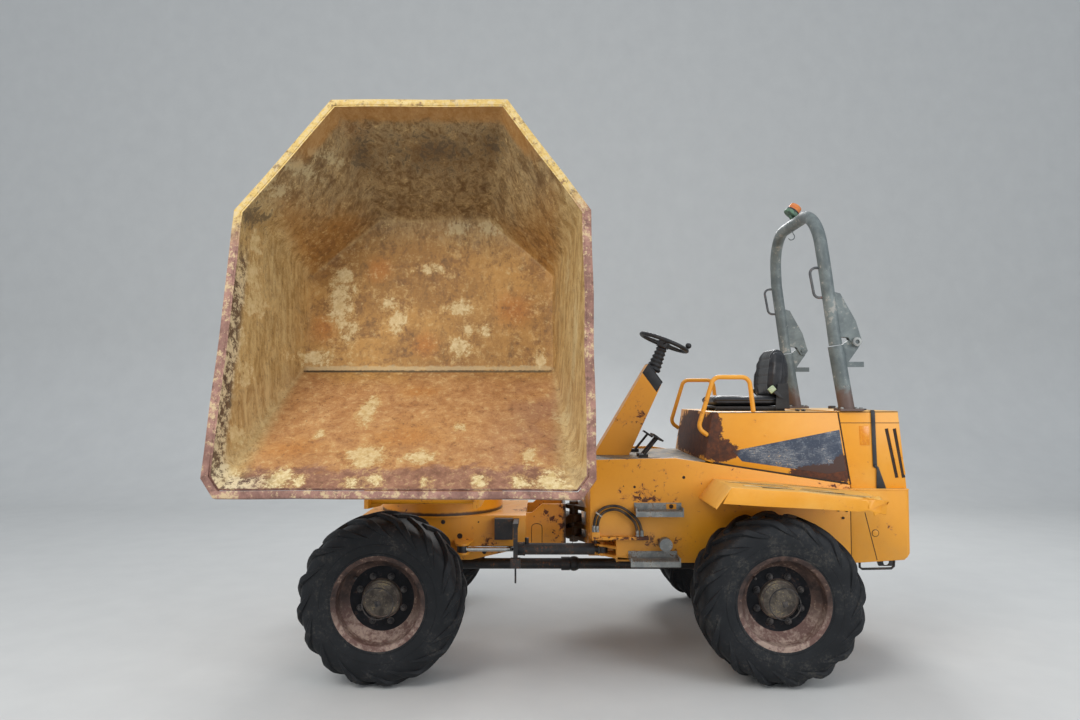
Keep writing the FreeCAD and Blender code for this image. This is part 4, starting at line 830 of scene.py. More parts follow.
def rim(end, side_name):
    node = f"rim_{end}_{side_name}"
    body = f"wheel_{end}_{side_name}"
    side = 1 if side_name == "left" else -1
    centre = Vector((AXLE_X if end == "front" else -AXLE_X, side * TRACK_HALF, AXLE_Z))

    def zones(bm):
        for face in bm.faces:
            reach = max(math.hypot(v.co.x - centre.x, v.co.z - centre.z) for v in face.verts)
            face.material_index = 2 if reach < 0.123 else 1 if reach < 0.208 else 0

    refine(node, RIM_FINISHES, 0.002, body, zones)
    bm = bmesh.new()
    out = Vector((0, side, 0))
    dish = centre + out * 0.062
    for k in range(NUTS):
        angle = math.tau * (k + 0.5) / NUTS
        at = dish + Vector((math.cos(angle), 0, math.sin(angle))) * NUT_CIRCLE
        add_rod(bm, at, at + out * 0.006, 0.021, 20)
        add_rod(bm, at, at + out * 0.024, 0.0165, 6)
        add_rod(bm, at, at + out * 0.034, 0.009, 12)
    valve = dish + Vector((0.150, 0, 0.130))
    add_rod(bm, valve - out * 0.002, valve + out * 0.050, 0.005, 10)
    add_rod(bm, valve + out * 0.030, valve + out * 0.052, 0.008, 10)
    bmesh.ops.recalc_face_normals(bm, faces=bm.faces)
    finish_piece(f"{node}_nuts", bm, body, "nut", 0.001)
    bm = bmesh.new()
    face_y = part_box(node)[1].y if side > 0 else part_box(node)[0].y
    cap = Vector((centre.x, face_y, centre.z))
    add_lathe(bm, [(0.094, -0.004), (0.094, 0.0018), (0.088, 0.0018), (0.088, -0.004)], cap, out, 48)
    add_box(bm, cap - Vector((0.016, 0.003, 0.016)), cap + Vector((0.016, 0.003, 0.016)), (cap, "Y", 20))
    bmesh.ops.recalc_face_normals(bm, faces=bm.faces)
    finish_piece(f"{node}_cap", bm, body, "nut", 0.001)


for end in ("front", "rear"):
    for side_name in ("left", "right"):
        rim(end, side_name)
# %% [markdown]
# ## The skip
# The five welded panels are folded from plate, so the bends are round. One shell is drawn
# level from the inner corners of the mouth and the floor, tipped about its pins and swung to
# the left. Smoothing the finely cut faces rounds the bends and leaves the mouth and the
# welded seam as they are.

# %% Skip shell
TIP_PIN = (0.969, 1.222)
TIP = math.radians(75.9)
SWIVEL_X = 0.95
# places forward and half across of the inner walls, from the lip to the back
MOUTH = [(1.130, 0.900), (1.0633, 0.950), (-0.4068, 0.950), (-1.092, 0.4923)]
FLOOR = [(0.288, 0.800), (-0.359, 0.800), (-0.765, 0.3735)]


def on_skip(u, v, z):
    """A point of the level skip, tipped about its pins and swung to the machine's left."""
    ahead, over = u - TIP_PIN[0], z - TIP_PIN[1]
    return Vector((SWIVEL_X - v, TIP_PIN[0] + ahead * math.cos(TIP) + over * math.sin(TIP),
                   TIP_PIN[1] - ahead * math.sin(TIP) + over * math.cos(TIP)))


def on_floor(*marks):
    """Balls deep enough to reach the floor or the slopes from (x, z, half wide, half tall)."""
    return [((x, 1.0, z), (wide, 9.0, tall)) for x, z, wide, tall in marks]


def on_walls(x, *marks):
    """Balls at a side wall from (y, z, half deep, half tall)."""
    return [((x, y, z), (0.16, deep, tall)) for y, z, deep, tall in marks]


MARKS = {}
MARKS["cream"] = on_floor(
    (1.54, 2.33, 0.11, 0.20), (1.54, 2.51, 0.08, 0.07), (1.47, 2.12, 0.08, 0.11), (1.16, 2.18, 0.07, 0.10),
    (1.22, 2.33, 0.05, 0.07), (0.77, 2.29, 0.11, 0.06), (0.75, 2.03, 0.08, 0.08), (0.71, 2.15, 0.05, 0.05),
    (1.67, 1.96, 0.14, 0.06), (0.25, 1.95, 0.05, 0.08), (0.95, 2.55, 0.13, 0.05), (0.59, 2.14, 0.04, 0.06),
    (1.24, 1.64, 0.06, 0.10), (1.16, 1.39, 0.13, 0.06), (0.87, 1.39, 0.10, 0.035), (0.69, 1.54, 0.04, 0.03),
    (1.45, 1.50, 0.04, 0.03), (0.30, 1.39, 0.05, 0.06), (1.56, 1.29, 0.10, 0.06), (1.46, 1.28, 0.04, 0.04),
    (1.18, 1.27, 0.07, 0.04), (1.08, 1.285, 0.05, 0.045), (0.82, 1.28, 0.04, 0.042),
    (0.54, 1.285, 0.06, 0.035), (0.34, 1.28, 0.06, 0.05), (0.18, 1.28, 0.12, 0.07)) + on_walls(
    1.84, (1.33, 2.41, 0.16, 0.11), (1.30, 2.24, 0.18, 0.10), (1.46, 2.04, 0.10, 0.08), (1.42, 1.83, 0.10, 0.11),
    (1.50, 1.51, 0.10, 0.08), (1.62, 1.49, 0.05, 0.07), (1.66, 1.33, 0.08, 0.06), (1.25, 2.60, 0.10, 0.10))
MARKS["pale"] = on_floor(
    (0.78, 2.84, 0.11, 0.08), (0.58, 2.83, 0.08, 0.07), (1.64, 3.04, 0.14, 0.05), (1.74, 2.90, 0.08, 0.05),
    (1.52, 3.15, 0.10, 0.05)) + on_walls(0.07, (1.05, 2.44, 0.10, 0.22), (1.30, 1.94, 0.06, 0.46),
                                         (1.22, 1.56, 0.08, 0.22))
MARKS["orange"] = on_floor(
    (0.41, 2.27, 0.16, 0.14), (1.63, 2.15, 0.12, 0.12), (1.30, 2.55, 0.10, 0.11), (0.98, 2.04, 0.12, 0.10),
    (0.96, 1.74, 0.16, 0.05), (0.98, 1.49, 0.26, 0.09), (1.56, 1.43, 0.22, 0.07), (1.36, 3.32, 0.14, 0.05),
    (0.91, 3.40, 0.50, 0.035), (0.52, 3.35, 0.08, 0.04))
MARKS["dark"] = on_floor(
    (0.89, 3.22, 0.42, 0.12), (0.53, 3.24, 0.14, 0.10), (1.34, 3.22, 0.12, 0.14)) + on_walls(
    1.88, (1.56, 1.78, 0.09, 0.26), (1.50, 2.35, 0.08, 0.26), (1.66, 1.60, 0.07, 0.20), (1.30, 2.72, 0.20, 0.14))
MARKS["pit"] = on_floor((1.69, 1.70, 0.13, 0.11), (1.50, 1.74, 0.16, 0.09), (1.30, 1.78, 0.13, 0.06),
                     (0.34, 1.66, 0.06, 0.06), (1.54, 1.58, 0.14, 0.08), (1.01, 1.54, 0.12, 0.05))


def store_marks(bm, marks):
    """Give every corner its depth inside the nearest mark of each kind, from -1 outside to 1."""
    for name, places in marks.items():
        layer = bm.verts.layers.float.new(name)
        for vert in bm.verts:
            vert[layer] = max(max(1 - Vector([(v - c) / r for v, c, r in zip(vert.co, centre, reach)]).length
                                  for centre, reach in places), -1.0)


def store_lines(bm, name, lines, reach):
    """Give every corner its nearness to a set of straight lines, 1 on a line."""
    layer = bm.verts.layers.float.new(name)
    for vert in bm.verts:
        best = reach
        for start, end in lines:
            at = geometry.intersect_point_line(vert.co, start, end)
            place = start.lerp(end, min(max(at[1], 0.0), 1.0))
            best = min(best, (vert.co - place).length)
        vert[layer] = 1 - best / reach


def skip_shell():
    bm = bmesh.new()
    mouth = [bm.verts.new(on_skip(u, v, 1.980)) for u, v in MOUTH + [(u, -v) for u, v in MOUTH[::-1]]]
    floor = [bm.verts.new(on_skip(u, v, 1.180)) for u, v in FLOOR + [(u, -v) for u, v in FLOOR[::-1]]]
    lip, cheek, corner, back, back_r, corner_r, cheek_r, lip_r = mouth
    front, middle, rear, rear_r, middle_r, front_r = floor
    for corners in (floor, (lip, front, front_r, lip_r), (cheek, corner, middle, front), (lip, cheek, front),
                    (cheek_r, front_r, middle_r, corner_r), (lip_r, front_r, cheek_r),
                    (back, back_r, rear_r, rear), (corner, back, rear), (corner, rear, middle),
                    (corner_r, rear_r, back_r), (corner_r, middle_r, rear_r)):
        bm.faces.new(corners)
    bmesh.ops.recalc_face_normals(bm, faces=bm.faces)
    seam_z = front.co.z
    creases = [(a.co.copy(), b.co.copy()) for a, b in (
        (rear, rear_r), (rear, middle), (rear_r, middle_r), (lip, front), (lip_r, front_r))]
    rim_line = [(a.co.copy(), b.co.copy()) for a, b in zip(mouth, mouth[1:] + mouth[:1])]
    cut_up(bm, 0.045)
    soft = [v for v in bm.verts if not v.is_boundary and abs(v.co.z - seam_z) > 0.002]
    for again in range(5):
        bmesh.ops.smooth_vert(bm, verts=soft, factor=0.5, use_axis_x=True, use_axis_y=True, use_axis_z=True)
    dent(bm, 0.005, 0.35)
    bmesh.ops.recalc_face_normals(bm, faces=bm.faces)
    if min(bm.faces, key=lambda face: face.calc_center_median().y).normal.y < 0:
        bmesh.ops.reverse_faces(bm, faces=bm.faces)
    store_marks(bm, MARKS)
    store_lines(bm, "crease", creases, 0.045)
    store_lines(bm, "edge", rim_line, 0.150)
    bm.normal_update()
    edge = [e for e in bm.edges if e.is_boundary]
    inner = bm.faces[:]
    back = {v: bm.verts.new(v.co - v.normal * (0.014 if v.is_boundary else 0.008), v) for v in bm.verts[:]}
    for face in inner:
        bm.faces.new([back[v] for v in reversed(face.verts)]).material_index = 1
    for a, b in (e.verts for e in edge):
        bm.faces.new((a, b, back[b], back[a])).material_index = 2
    bmesh.ops.recalc_face_normals(bm, faces=bm.faces)
    print("shell", [[round(f(v.co[k] for v in bm.verts), 3) for k in range(3)] for f in (min, max)])
    finish_piece("skip_shell", bm, "skip", ["skip_inside", "skip_outside", "rim_paint"],
                 replaced=("skip_floor", "skip_front", "skip_left", "skip_right", "skip_rear"))


skip_shell()

# %% [markdown]
# The floor is welded to the lower slope with one long seam. A bead is a chain of short
# overlapping blobs, and the same helper serves every weld on the machine.

# %% Weld beads
def add_weld(bm, start, end, radius=0.005, pace=0.012, seed=1):
    """A rippled bead between two points."""
    chance = random.Random(seed)
    start, end = Vector(start), Vector(end)
    count = max(3, int((end - start).length / pace))
    side = (end - start).orthogonal().normalized()
    points = [start.lerp(end, k / count) + side * chance.uniform(-0.0012, 0.0012) for k in range(count + 1)]
    rings = []
    along = (end - start).normalized()
    across = along.cross(side)
    for k, point in enumerate(points):
        size = radius * (1.0 if k % 2 else 0.72) * chance.uniform(0.9, 1.1)
        rings.append([bm.verts.new(point + (side * math.cos(a) + across * math.sin(a)) * size)
                      for a in [math.tau * n / 6 for n in range(6)]])
    for one, two in zip(rings, rings[1:]):
        for n in range(6):
            bm.faces.new((one[n], one[(n + 1) % 6], two[(n + 1) % 6], two[n]))


bm = bmesh.new()
add_weld(bm, on_skip(0.288, 0.79, 1.1805), on_skip(0.288, -0.79, 1.1805), 0.0035)
finish_piece("skip_seam", bm, "skip", "cast")
# %% [markdown]
# ## Hoses
# Two steering hoses arch over from a block on the side plate and come down on its rusty
# bracket. Each is one smooth curve whose control points are the frame's own route.

# %% Hoses with crimped ends and a tie
HOSES = {
    "hose_outer": [(-0.105, 0.626, 0.838), (-0.105, 0.626, 0.925), (-0.158, 0.632, 0.997),
                   (-0.262, 0.638, 1.012), (-0.351, 0.636, 0.956), (-0.414, 0.626, 0.880),
                   (-0.414, 0.626, 0.808)],
    "hose_inner": [(-0.127, 0.626, 0.838), (-0.127, 0.626, 0.913), (-0.172, 0.632, 0.974),
                   (-0.258, 0.638, 0.989), (-0.334, 0.636, 0.940), (-0.385, 0.626, 0.880),
                   (-0.385, 0.626, 0.808)],
}


def hose(name, points):
    data = bpy.data.curves.new(f"{name}_line", "CURVE")
    data.dimensions = "3D"
    data.resolution_u = 10
    data.bevel_depth = 0.009
    data.bevel_resolution = 4
    spline = data.splines.new("NURBS")
    spline.points.add(len(points) - 1)
    for slot, point in zip(spline.points, points):
        slot.co = (*point, 1.0)
    spline.order_u = 3
    spline.use_endpoint_u = True
    data.materials.append(finishes["hose"])
    obj = bpy.data.objects.new(f"{name}_line", data)
    collection.objects.link(obj)
    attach(obj, "rear_chassis")
    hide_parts(name)


for name, points in HOSES.items():
    hose(name, points)
bm = bmesh.new()
for points in HOSES.values():
    for end, way in ((points[0], 1), (points[-1], 1)):
        start = Vector(end)
        add_rod(bm, start - Vector((0, 0, 0.004)), start + Vector((0, 0, 0.012)), 0.0135, 6)
        add_rod(bm, start + Vector((0, 0, 0.012)), start + Vector((0, 0, 0.040)), 0.0118, 20)
finish_piece("hose_ends", bm, "rear_chassis", "galvanised", 0.001)
bm = bmesh.new()
add_lathe(bm, [(0.0118, -0.004), (0.0145, -0.004), (0.0145, 0.004), (0.0118, 0.004), (0.0118, -0.004)],
          (-0.1295, 0.6285, 0.958), (-0.55, 0.07, 0.83), 20)
add_lathe(bm, [(0.0100, -0.004), (0.0125, -0.004), (0.0125, 0.004), (0.0100, 0.004), (0.0100, -0.004)],
          (-0.148, 0.629, 0.943), (-0.55, 0.07, 0.83), 20)
bmesh.ops.recalc_face_normals(bm, faces=bm.faces)
finish_piece("hose_tie", bm, "rear_chassis", "white")

# %% [markdown]
# ## Covers and tail
# Thin parts on the covers are plates a millimetre or two proud: the bare blue panel, amber
# reflectors, louvre slots as dark plates of painted shade, a hanging strap, lid seams and plugs. What both sides of
# the real machine have is made once for each side.

# %% Cover trim
def patch(bm, side, plane, outline, thick):
    """A plate on a side face, from an (x, z) outline."""
    add_plate(bm, [(x, side * plane, z) for x, z in outline], (0, side * thick, 0))


def trim(name, finish, make, bevel=0.0, body="rear_chassis"):
    """Build the same small parts on the left side and the right one."""
    bm = bmesh.new()
    for side in (1, -1):
        make(bm, side)
    bmesh.ops.recalc_face_normals(bm, faces=bm.faces)
    finish_piece(name, bm, body, finish, bevel)


def line(start, end, width):
    """The outline of a straight strip in (x, z)."""
    along = Vector((end[0] - start[0], end[1] - start[1])).normalized()
    off = Vector((-along.y, along.x)) * width / 2
    return [(start[0] + off.x, start[1] + off.y), (end[0] + off.x, end[1] + off.y),
            (end[0] - off.x, end[1] - off.y), (start[0] - off.x, start[1] - off.y)]


COVER_Y = 0.560
SIDE_Y = 0.600
PANEL = [(-1.022, 1.353), (-1.722, 1.492), (-1.758, 1.225), (-1.642, 1.205), (-1.082, 1.286)]
trim("blue_panel", "decal", lambda bm, side: patch(bm, side, COVER_Y, PANEL, 0.0012))
trim("reflectors", "reflector", lambda bm, side: patch(
    bm, side, COVER_Y, [(-1.852, 1.516), (-1.914, 1.516), (-1.920, 1.392), (-1.856, 1.392)], 0.0035), 0.001)


# Painted shade: the louvre slots are dark plates that stand in for the shaded openings, and the fins beside them
# are real shapes.
def louvres(bm, side):
    for top, foot in (((-2.030, 1.500), (-2.092, 1.180)), ((-2.082, 1.500), (-2.136, 1.180))):
        patch(bm, side, COVER_Y, line(top, foot, 0.022), 0.0012)


def louvre_fins(bm, side):
    for top, foot in (((-2.044, 1.500), (-2.106, 1.180)), ((-2.096, 1.500), (-2.143, 1.200))):
        patch(bm, side, COVER_Y, line(top, foot, 0.010), 0.005)


def seams(bm, side):
    patch(bm, side, COVER_Y, line((-1.722, 1.537), (-2.114, 1.537), 0.004), 0.0008)
    patch(bm, side, COVER_Y, line((-1.7141, 1.610), (-1.7895, 1.136), 0.007), 0.0012)
    patch(bm, side, COVER_Y, line((-0.892, 1.6035), (-2.105, 1.6095), 0.005), 0.0014)
    patch(bm, side, SIDE_Y, line((-1.862, 0.960), (-1.935, 0.655), 0.005), 0.0008)
    patch(bm, side, SIDE_Y, line((-1.770, 1.106), (-1.770, 0.640), 0.004), 0.0008)


trim("louvre_slots", "slot", louvres)
trim("louvre_fins", "paint", louvre_fins, 0.001)
trim("cover_seams", "slot", seams)


def plugs(bm, side):
    out = Vector((0, side, 0))
    for x, z, y in ((-1.927, 0.827, SIDE_Y), (-1.235, 1.455, COVER_Y)):
        at = Vector((x, side * y, z))
        add_rod(bm, at, at + out * 0.003, 0.020 if z < 1.0 else 0.007, 24)


trim("tail_plugs", "tail_paint", plugs, 0.001)
trim("plug_rings", "slot", lambda bm, side: add_rod(
    bm, (-1.927, side * SIDE_Y, 0.827), (-1.927, side * (SIDE_Y + 0.0012), 0.827), 0.0235, 24))

# %% The strap that hangs down the left cover
bm = bmesh.new()
rows = [(-1.9400, 0.520, 1.6185), (-1.9400, 0.560, 1.6185), (-1.9402, 0.5655, 1.612), (-1.9415, 0.5645, 1.56),
        (-1.9450, 0.5640, 1.40), (-1.9480, 0.5645, 1.28), (-1.9490, 0.5660, 1.252)]
front = [bm.verts.new((x + 0.0135, y, z)) for x, y, z in rows]
rear = [bm.verts.new((x - 0.0135, y, z)) for x, y, z in rows]
faces = [bm.faces.new((front[k], rear[k], rear[k + 1], front[k + 1])) for k in range(len(rows) - 1)]
pushed = bmesh.ops.extrude_face_region(bm, geom=faces)["geom"]
for vert in (g for g in pushed if isinstance(g, bmesh.types.BMVert)):
    vert.co += Vector((0, 0, 0.0025)) if vert.co.z > 1.615 else Vector((0, 0.0025, 0))
patch(bm, 1, 0.5655, [(-1.957, 1.256), (-1.969, 1.252), (-2.023, 1.094), (-1.954, 1.096)], 0.004)
add_rod(bm, (-1.949, 0.563, 1.253), (-1.949, 0.574, 1.253), 0.010, 16)
bmesh.ops.recalc_face_normals(bm, faces=bm.faces)
finish_piece("strap", bm, "rear_chassis", "plastic", 0.0008)


# %% Side plate, step and fender details
# Painted shade: the flat dark discs stand in for the side plate's holes, and the bolt heads are dark steel.
def bolts_on_plate(bm, side):
    out = (0, side, 0)
    for x, z, size in ((-0.372, 1.123, 0.0085), (-0.504, 1.098, 0.005), (-0.300, 1.128, 0.004),
                       (-0.692, 1.185, 0.010)):
        at = Vector((x, side * SIDE_Y, z))
        add_rod(bm, at, at + Vector(out) * 0.0012, size, 20)
    for x, z in ((-1.590, 0.985), (-1.690, 0.975), (-1.745, 0.972), (-1.720, 0.925), (-1.800, 0.990)):
        add_bolt(bm, (x, side * SIDE_Y, z), out, 0.009, 0.007, False)


trim("side_holes", "slot", bolts_on_plate)


def step_plates(bm, side):
    patch(bm, side, SIDE_Y + 0.0085, [(-0.575, 1.016), (-0.640, 1.016), (-0.640, 0.982), (-0.575, 0.982)], 0.0015)


def step_teeth(bm, side):
    for x0, x1, y, z in ((-0.668, -0.373, 0.702, 0.979), (-0.636, -0.334, 0.752, 0.674)):
        count = 18
        for k in range(count):
            at = x0 + (x1 - x0) * (k + 0.5) / count
            add_box(bm, (at - 0.004, side * (y - 0.082), z - 0.001), (at + 0.004, side * (y - 0.012), z + 0.003))


trim("step_patches", "paint", step_plates)
trim("step_teeth", "galvanised", step_teeth, 0.0)
# Painted shade: a dark disc stands in for the hole in the step's back plate.
trim("step_holes", "slot", lambda bm, side: add_rod(
    bm, (-0.607, side * 0.609, 0.999), (-0.607, side * 0.6112, 0.999), 0.014, 20))


def under_bar(bm, side):
    path = [(-1.840, side * 0.555, 0.640), (-1.840, side * 0.555, 0.600), (-1.855, side * 0.555, 0.588),
            (-2.045, side * 0.555, 0.592), (-2.062, side * 0.555, 0.606), (-2.066, side * 0.555, 0.662)]
    add_tube(bm, path, 0.008, 8)


trim("under_bars", "dark", under_bar)
# %% [markdown]
# ## Seat
# Each cushion starts as a loft of rounded sections with raised side bolsters. A voxel remesh
# makes it even, a short cloth run under pressure swells it, and the sewn channels are pressed
# in afterwards. A cap on how far a corner may move keeps it inside its frame solid.

# %% Padded cushions
def section(middle, half_wide, half_deep, dip, up):
    """A rounded box section across the seat; its face side dips between the bolsters."""
    ring = []
    for k in range(40):
        angle = math.tau * k / 40
        wide = math.copysign(abs(math.cos(angle)) ** 0.35, math.cos(angle))
        deep = math.copysign(abs(math.sin(angle)) ** 0.55, math.sin(angle))
        hollow = dip * min(max((0.80 - abs(wide)) / 0.25, 0.0), 1.0) if deep > 0 else 0.0
        ring.append(middle + Vector((0, wide * half_wide, 0)) + up * (deep * half_deep - hollow))
    return ring


def cushion(name, rows, channels, replaced, cap=0.008):
    bm = bmesh.new()
    rings = [[bm.verts.new(p) for p in section(*row)] for row in rows]
    for one, two in zip(rings, rings[1:]):
        for k in range(40):
            bm.faces.new((one[k], one[(k + 1) % 40], two[(k + 1) % 40], two[k]))
    bm.faces.new(rings[0])
    bm.faces.new(rings[-1])
    bmesh.ops.recalc_face_normals(bm, faces=bm.faces)
    mesh = bpy.data.meshes.new(name)
    bm.to_mesh(mesh)
    bm.free()
    obj = bpy.data.objects.new(name, mesh)
    collection.objects.link(obj)
    remesh = obj.modifiers.new("even", "REMESH")
    remesh.mode = "VOXEL"
    remesh.voxel_size = 0.008
    view = bpy.context.evaluated_depsgraph_get()
    obj.data = bpy.data.meshes.new_from_object(obj.evaluated_get(view))
    obj.modifiers.clear()
    start = [v.co.copy() for v in obj.data.vertices]
    cloth = obj.modifiers.new("swell", "CLOTH")
    cloth.settings.use_pressure = True
    cloth.settings.uniform_pressure_force = 4.0
    cloth.settings.effector_weights.gravity = 0.0
    for frame_number in range(1, 21):
        bpy.context.scene.frame_set(frame_number)
    view = bpy.context.evaluated_depsgraph_get()
    obj.data = bpy.data.meshes.new_from_object(obj.evaluated_get(view))
    obj.modifiers.clear()
    bpy.context.scene.frame_set(1)
    for vert, place in zip(obj.data.vertices, start):
        moved = vert.co - place
        vert.co = place + moved * min(1.0, cap / max(moved.length, 1e-6))
    bm = bmesh.new()
    bm.from_mesh(obj.data)
    bpy.data.objects.remove(obj, do_unlink=True)
    for again in range(2):
        bmesh.ops.smooth_vert(bm, verts=bm.verts, factor=0.5, use_axis_x=True, use_axis_y=True, use_axis_z=True)
    bmesh.ops.subdivide_edges(bm, edges=bm.edges, cuts=1, use_grid_fill=True)
    bm.normal_update()
    pressed = {v: max(math.exp(-(distance(v.co) / 0.007) ** 2) for distance in channels) for v in bm.verts}
    pushes = [(v, v.normal * (0.0045 * depth)) for v, depth in pressed.items()]
    for vert, push in pushes:
        vert.co -= push
    shown = finish_piece(name, bm, "rear_chassis", "seat", replaced=replaced)


SEAT_Y = 0.240
BACK_AXIS = Vector((-0.335, 0, 0.942))
BACK_OUT = Vector((0.942, 0, 0.335))


def back_row(along, half_wide, half_deep, dip):
    low = Vector((-1.428, 0, 1.712))
    return (low + Vector((-0.030 * along, 0, 0.338 * along)), half_wide, half_deep, dip,
            Vector((0.985, 0, 0.17)))


cushion("seat_back_pad", [back_row(-0.02, 0.190, 0.035, 0.0), back_row(0.02, 0.212, 0.058, 0.012),
                          back_row(0.20, 0.226, 0.072, 0.024), back_row(0.45, 0.228, 0.074, 0.026),
                          back_row(0.70, 0.214, 0.066, 0.022), back_row(0.88, 0.186, 0.052, 0.012),
                          back_row(0.98, 0.150, 0.034, 0.0), back_row(1.01, 0.120, 0.016, 0.0)],
        [lambda co: abs(abs(co.y) - 0.150) if co.z > 1.74 else 1.0] + [
            lambda co, z=z: abs(co.z - z) if abs(co.y) < 0.15 and co.x > -1.45 else 1.0
            for z in (1.80, 1.86, 1.92, 1.98)] + [
            lambda co: abs(co.x + 1.452 + 0.10 * (co.z - 1.71)) if abs(co.y) > 0.16 else 1.0],
        ("seat_back",))


def cushion_row(x, half_wide, half_deep, dip, lift=0.0):
    return (Vector((x, 0, 1.681 + lift)), half_wide, half_deep, dip, Vector((0, 0, 1)))


cushion("seat_cushion_pad", [cushion_row(-1.482, 0.205, 0.018, 0.0), cushion_row(-1.468, 0.222, 0.028, 0.0),
                             cushion_row(-1.400, 0.228, 0.030, 0.008), cushion_row(-1.220, 0.230, 0.031, 0.012),
                             cushion_row(-1.060, 0.228, 0.032, 0.010), cushion_row(-1.000, 0.222, 0.031, 0.004),
                             cushion_row(-0.982, 0.212, 0.024, 0.0), cushion_row(-0.972, 0.200, 0.012, 0.0)],
        [lambda co: abs(abs(co.y) - 0.155) if co.z > 1.68 else 1.0] + [
            lambda co, x=x: abs(co.x - x) if abs(co.y) < 0.155 and co.z > 1.68 else 1.0
            for x in (-1.34, -1.24, -1.14)] + [lambda co: abs(co.z - 1.676) if abs(co.y) > 0.2 else 1.0],
        ("seat_cushion",))

# %% Belt, buckle and slide lever
bm = bmesh.new()
for side in (1, -1):
    add_plate(bm, [(-1.452, side * 0.262, 1.700), (-1.424, side * 0.262, 1.700),
                   (-1.372, side * 0.250, 1.752), (-1.390, side * 0.250, 1.768)], (0, side * 0.003, 0))
add_rod(bm, (-1.02, 0.150, 1.622), (-0.955, 0.150, 1.632), 0.006, 10)
add_rod(bm, (-0.958, 0.150, 1.632), (-0.935, 0.150, 1.636), 0.010, 12)
bmesh.ops.recalc_face_normals(bm, faces=bm.faces)
finish_piece("belt_stalks", bm, "rear_chassis", "plastic", 0.0008)
bm = bmesh.new()
add_box(bm, (-1.400, 0.238, 1.738), (-1.352, 0.262, 1.778), ((-1.375, 0.25, 1.758), "Y", 40))
finish_piece("belt_buckle", bm, "rear_chassis", "buckle", 0.004)

# %% [markdown]
# ## Wheel, column and hoop
# The steering column ends in a rubber bellows with a black cover behind it. The wheel has a
# spinner knob, and the lamp on the hoop has been knocked over to the rear, as in the photo.

# %% Bellows, column cover and spinner knob
STEM = Vector((-0.3746, 0, 0.9272))
WHEEL = Vector((-0.658, 0, 2.086))
bm = bmesh.new()
ripples = []
for k in range(13):
    share = k / 12
    ripples.append(((0.056 - 0.016 * share) if k % 2 else (0.046 - 0.016 * share), -0.205 + 0.184 * share))
add_lathe(bm, [(0.0, -0.206)] + ripples + [(0.0, -0.0205)], WHEEL, STEM, 32)
add_plate(bm, [(-0.6345, 0.089, 1.8065), (-0.6345, -0.089, 1.8065), (-0.5345, -0.089, 1.9435),
               (-0.5345, 0.089, 1.9435)], (-0.0065, 0, 0.0047))
add_plate(bm, [(-0.6345, 0.0895, 1.8065), (-0.5955, 0.0895, 1.740), (-0.4935, 0.0895, 1.880),
               (-0.5345, 0.0895, 1.9435)], (0, 0.0012, 0))
bmesh.ops.recalc_face_normals(bm, faces=bm.faces)
finish_piece("column_boot", bm, "rear_chassis", "plastic", 0.0015)
bm = bmesh.new()
rear_of_rim = WHEEL + STEM * 0.020 + Vector((-0.9272, 0, -0.3746)) * 0.175
add_rod(bm, rear_of_rim, rear_of_rim + STEM * 0.028, 0.008, 12)
bmesh.ops.create_uvsphere(bm, u_segments=20, v_segments=12, radius=0.022,
                          matrix=Matrix.Translation(rear_of_rim + STEM * 0.044))
add_lathe(bm, [(0.0, 0.028), (0.026, 0.028), (0.034, 0.022), (0.036, 0.010), (0.036, 0.0)], WHEEL, STEM, 28)
for k in range(28):
    turn = Matrix.Rotation(math.tau * (k + 0.5) / 28, 4, STEM)
    at = WHEEL + STEM * 0.020 + turn @ (Vector((-0.9272, 0, -0.3746)) * 0.175)
    along = turn @ Vector((0, 1, 0))
    add_lathe(bm, [(0.0150, -0.0016), (0.0162, 0.0), (0.0150, 0.0016)], at, along, 14)
bmesh.ops.recalc_face_normals(bm, faces=bm.faces)
finish_piece("wheel_knob", bm, "rear_chassis", "plastic")

# %% Lamp and hook on the hoop
LEAN = Vector((-0.60, 0, 0.80))
LAMP = Vector((-1.6015, 0, 3.046))
bm = bmesh.new()
add_lathe(bm, [(0.0, 0.0), (0.050, 0.0), (0.054, 0.004), (0.052, 0.026), (0.046, 0.032), (0.0, 0.032)],
          LAMP, LEAN, 36)
add_rod(bm, (-1.625, 0, 3.000), LAMP + LEAN * 0.006, 0.016, 16)
bmesh.ops.recalc_face_normals(bm, faces=bm.faces)
finish_piece("lamp_base", bm, "hoop", "green", 0.001, replaced=("beacon",))
bm = bmesh.new()
add_lathe(bm, [(0.0, 0.030), (0.048, 0.030), (0.048, 0.042), (0.0, 0.042)], LAMP, LEAN, 36)
bmesh.ops.recalc_face_normals(bm, faces=bm.faces)
finish_piece("lamp_band", bm, "hoop", "plastic", 0.001)
bm = bmesh.new()
lens = [(0.0, 0.041), (0.046, 0.041)]
for k in range(8):
    lens.append((0.046 if k % 2 else 0.0445, 0.046 + 0.004 * k))
lens += [(0.042, 0.082), (0.032, 0.087), (0.0, 0.089)]
add_lathe(bm, lens, LAMP, LEAN, 36)
bmesh.ops.recalc_face_normals(bm, faces=bm.faces)
finish_piece("lamp_lens", bm, "hoop", "amber")
bm = bmesh.new()
add_tube(bm, curve_points([(-1.622, 0.0, 2.936), (-1.622, 0.0, 2.912), (-1.634, 0.0, 2.892), (-1.627, 0.0, 2.870),
                           (-1.604, 0.0, 2.862), (-1.588, 0.0, 2.874)], 5), 0.0034, 8)
add_lathe(bm, [(0.0, -0.004), (0.011, -0.004), (0.013, 0.004), (0.0, 0.004)], (-1.622, 0, 2.934), (0, 0, 1), 16)
bmesh.ops.recalc_face_normals(bm, faces=bm.faces)
finish_piece("hoop_hook", bm, "hoop", "hoop_paint")


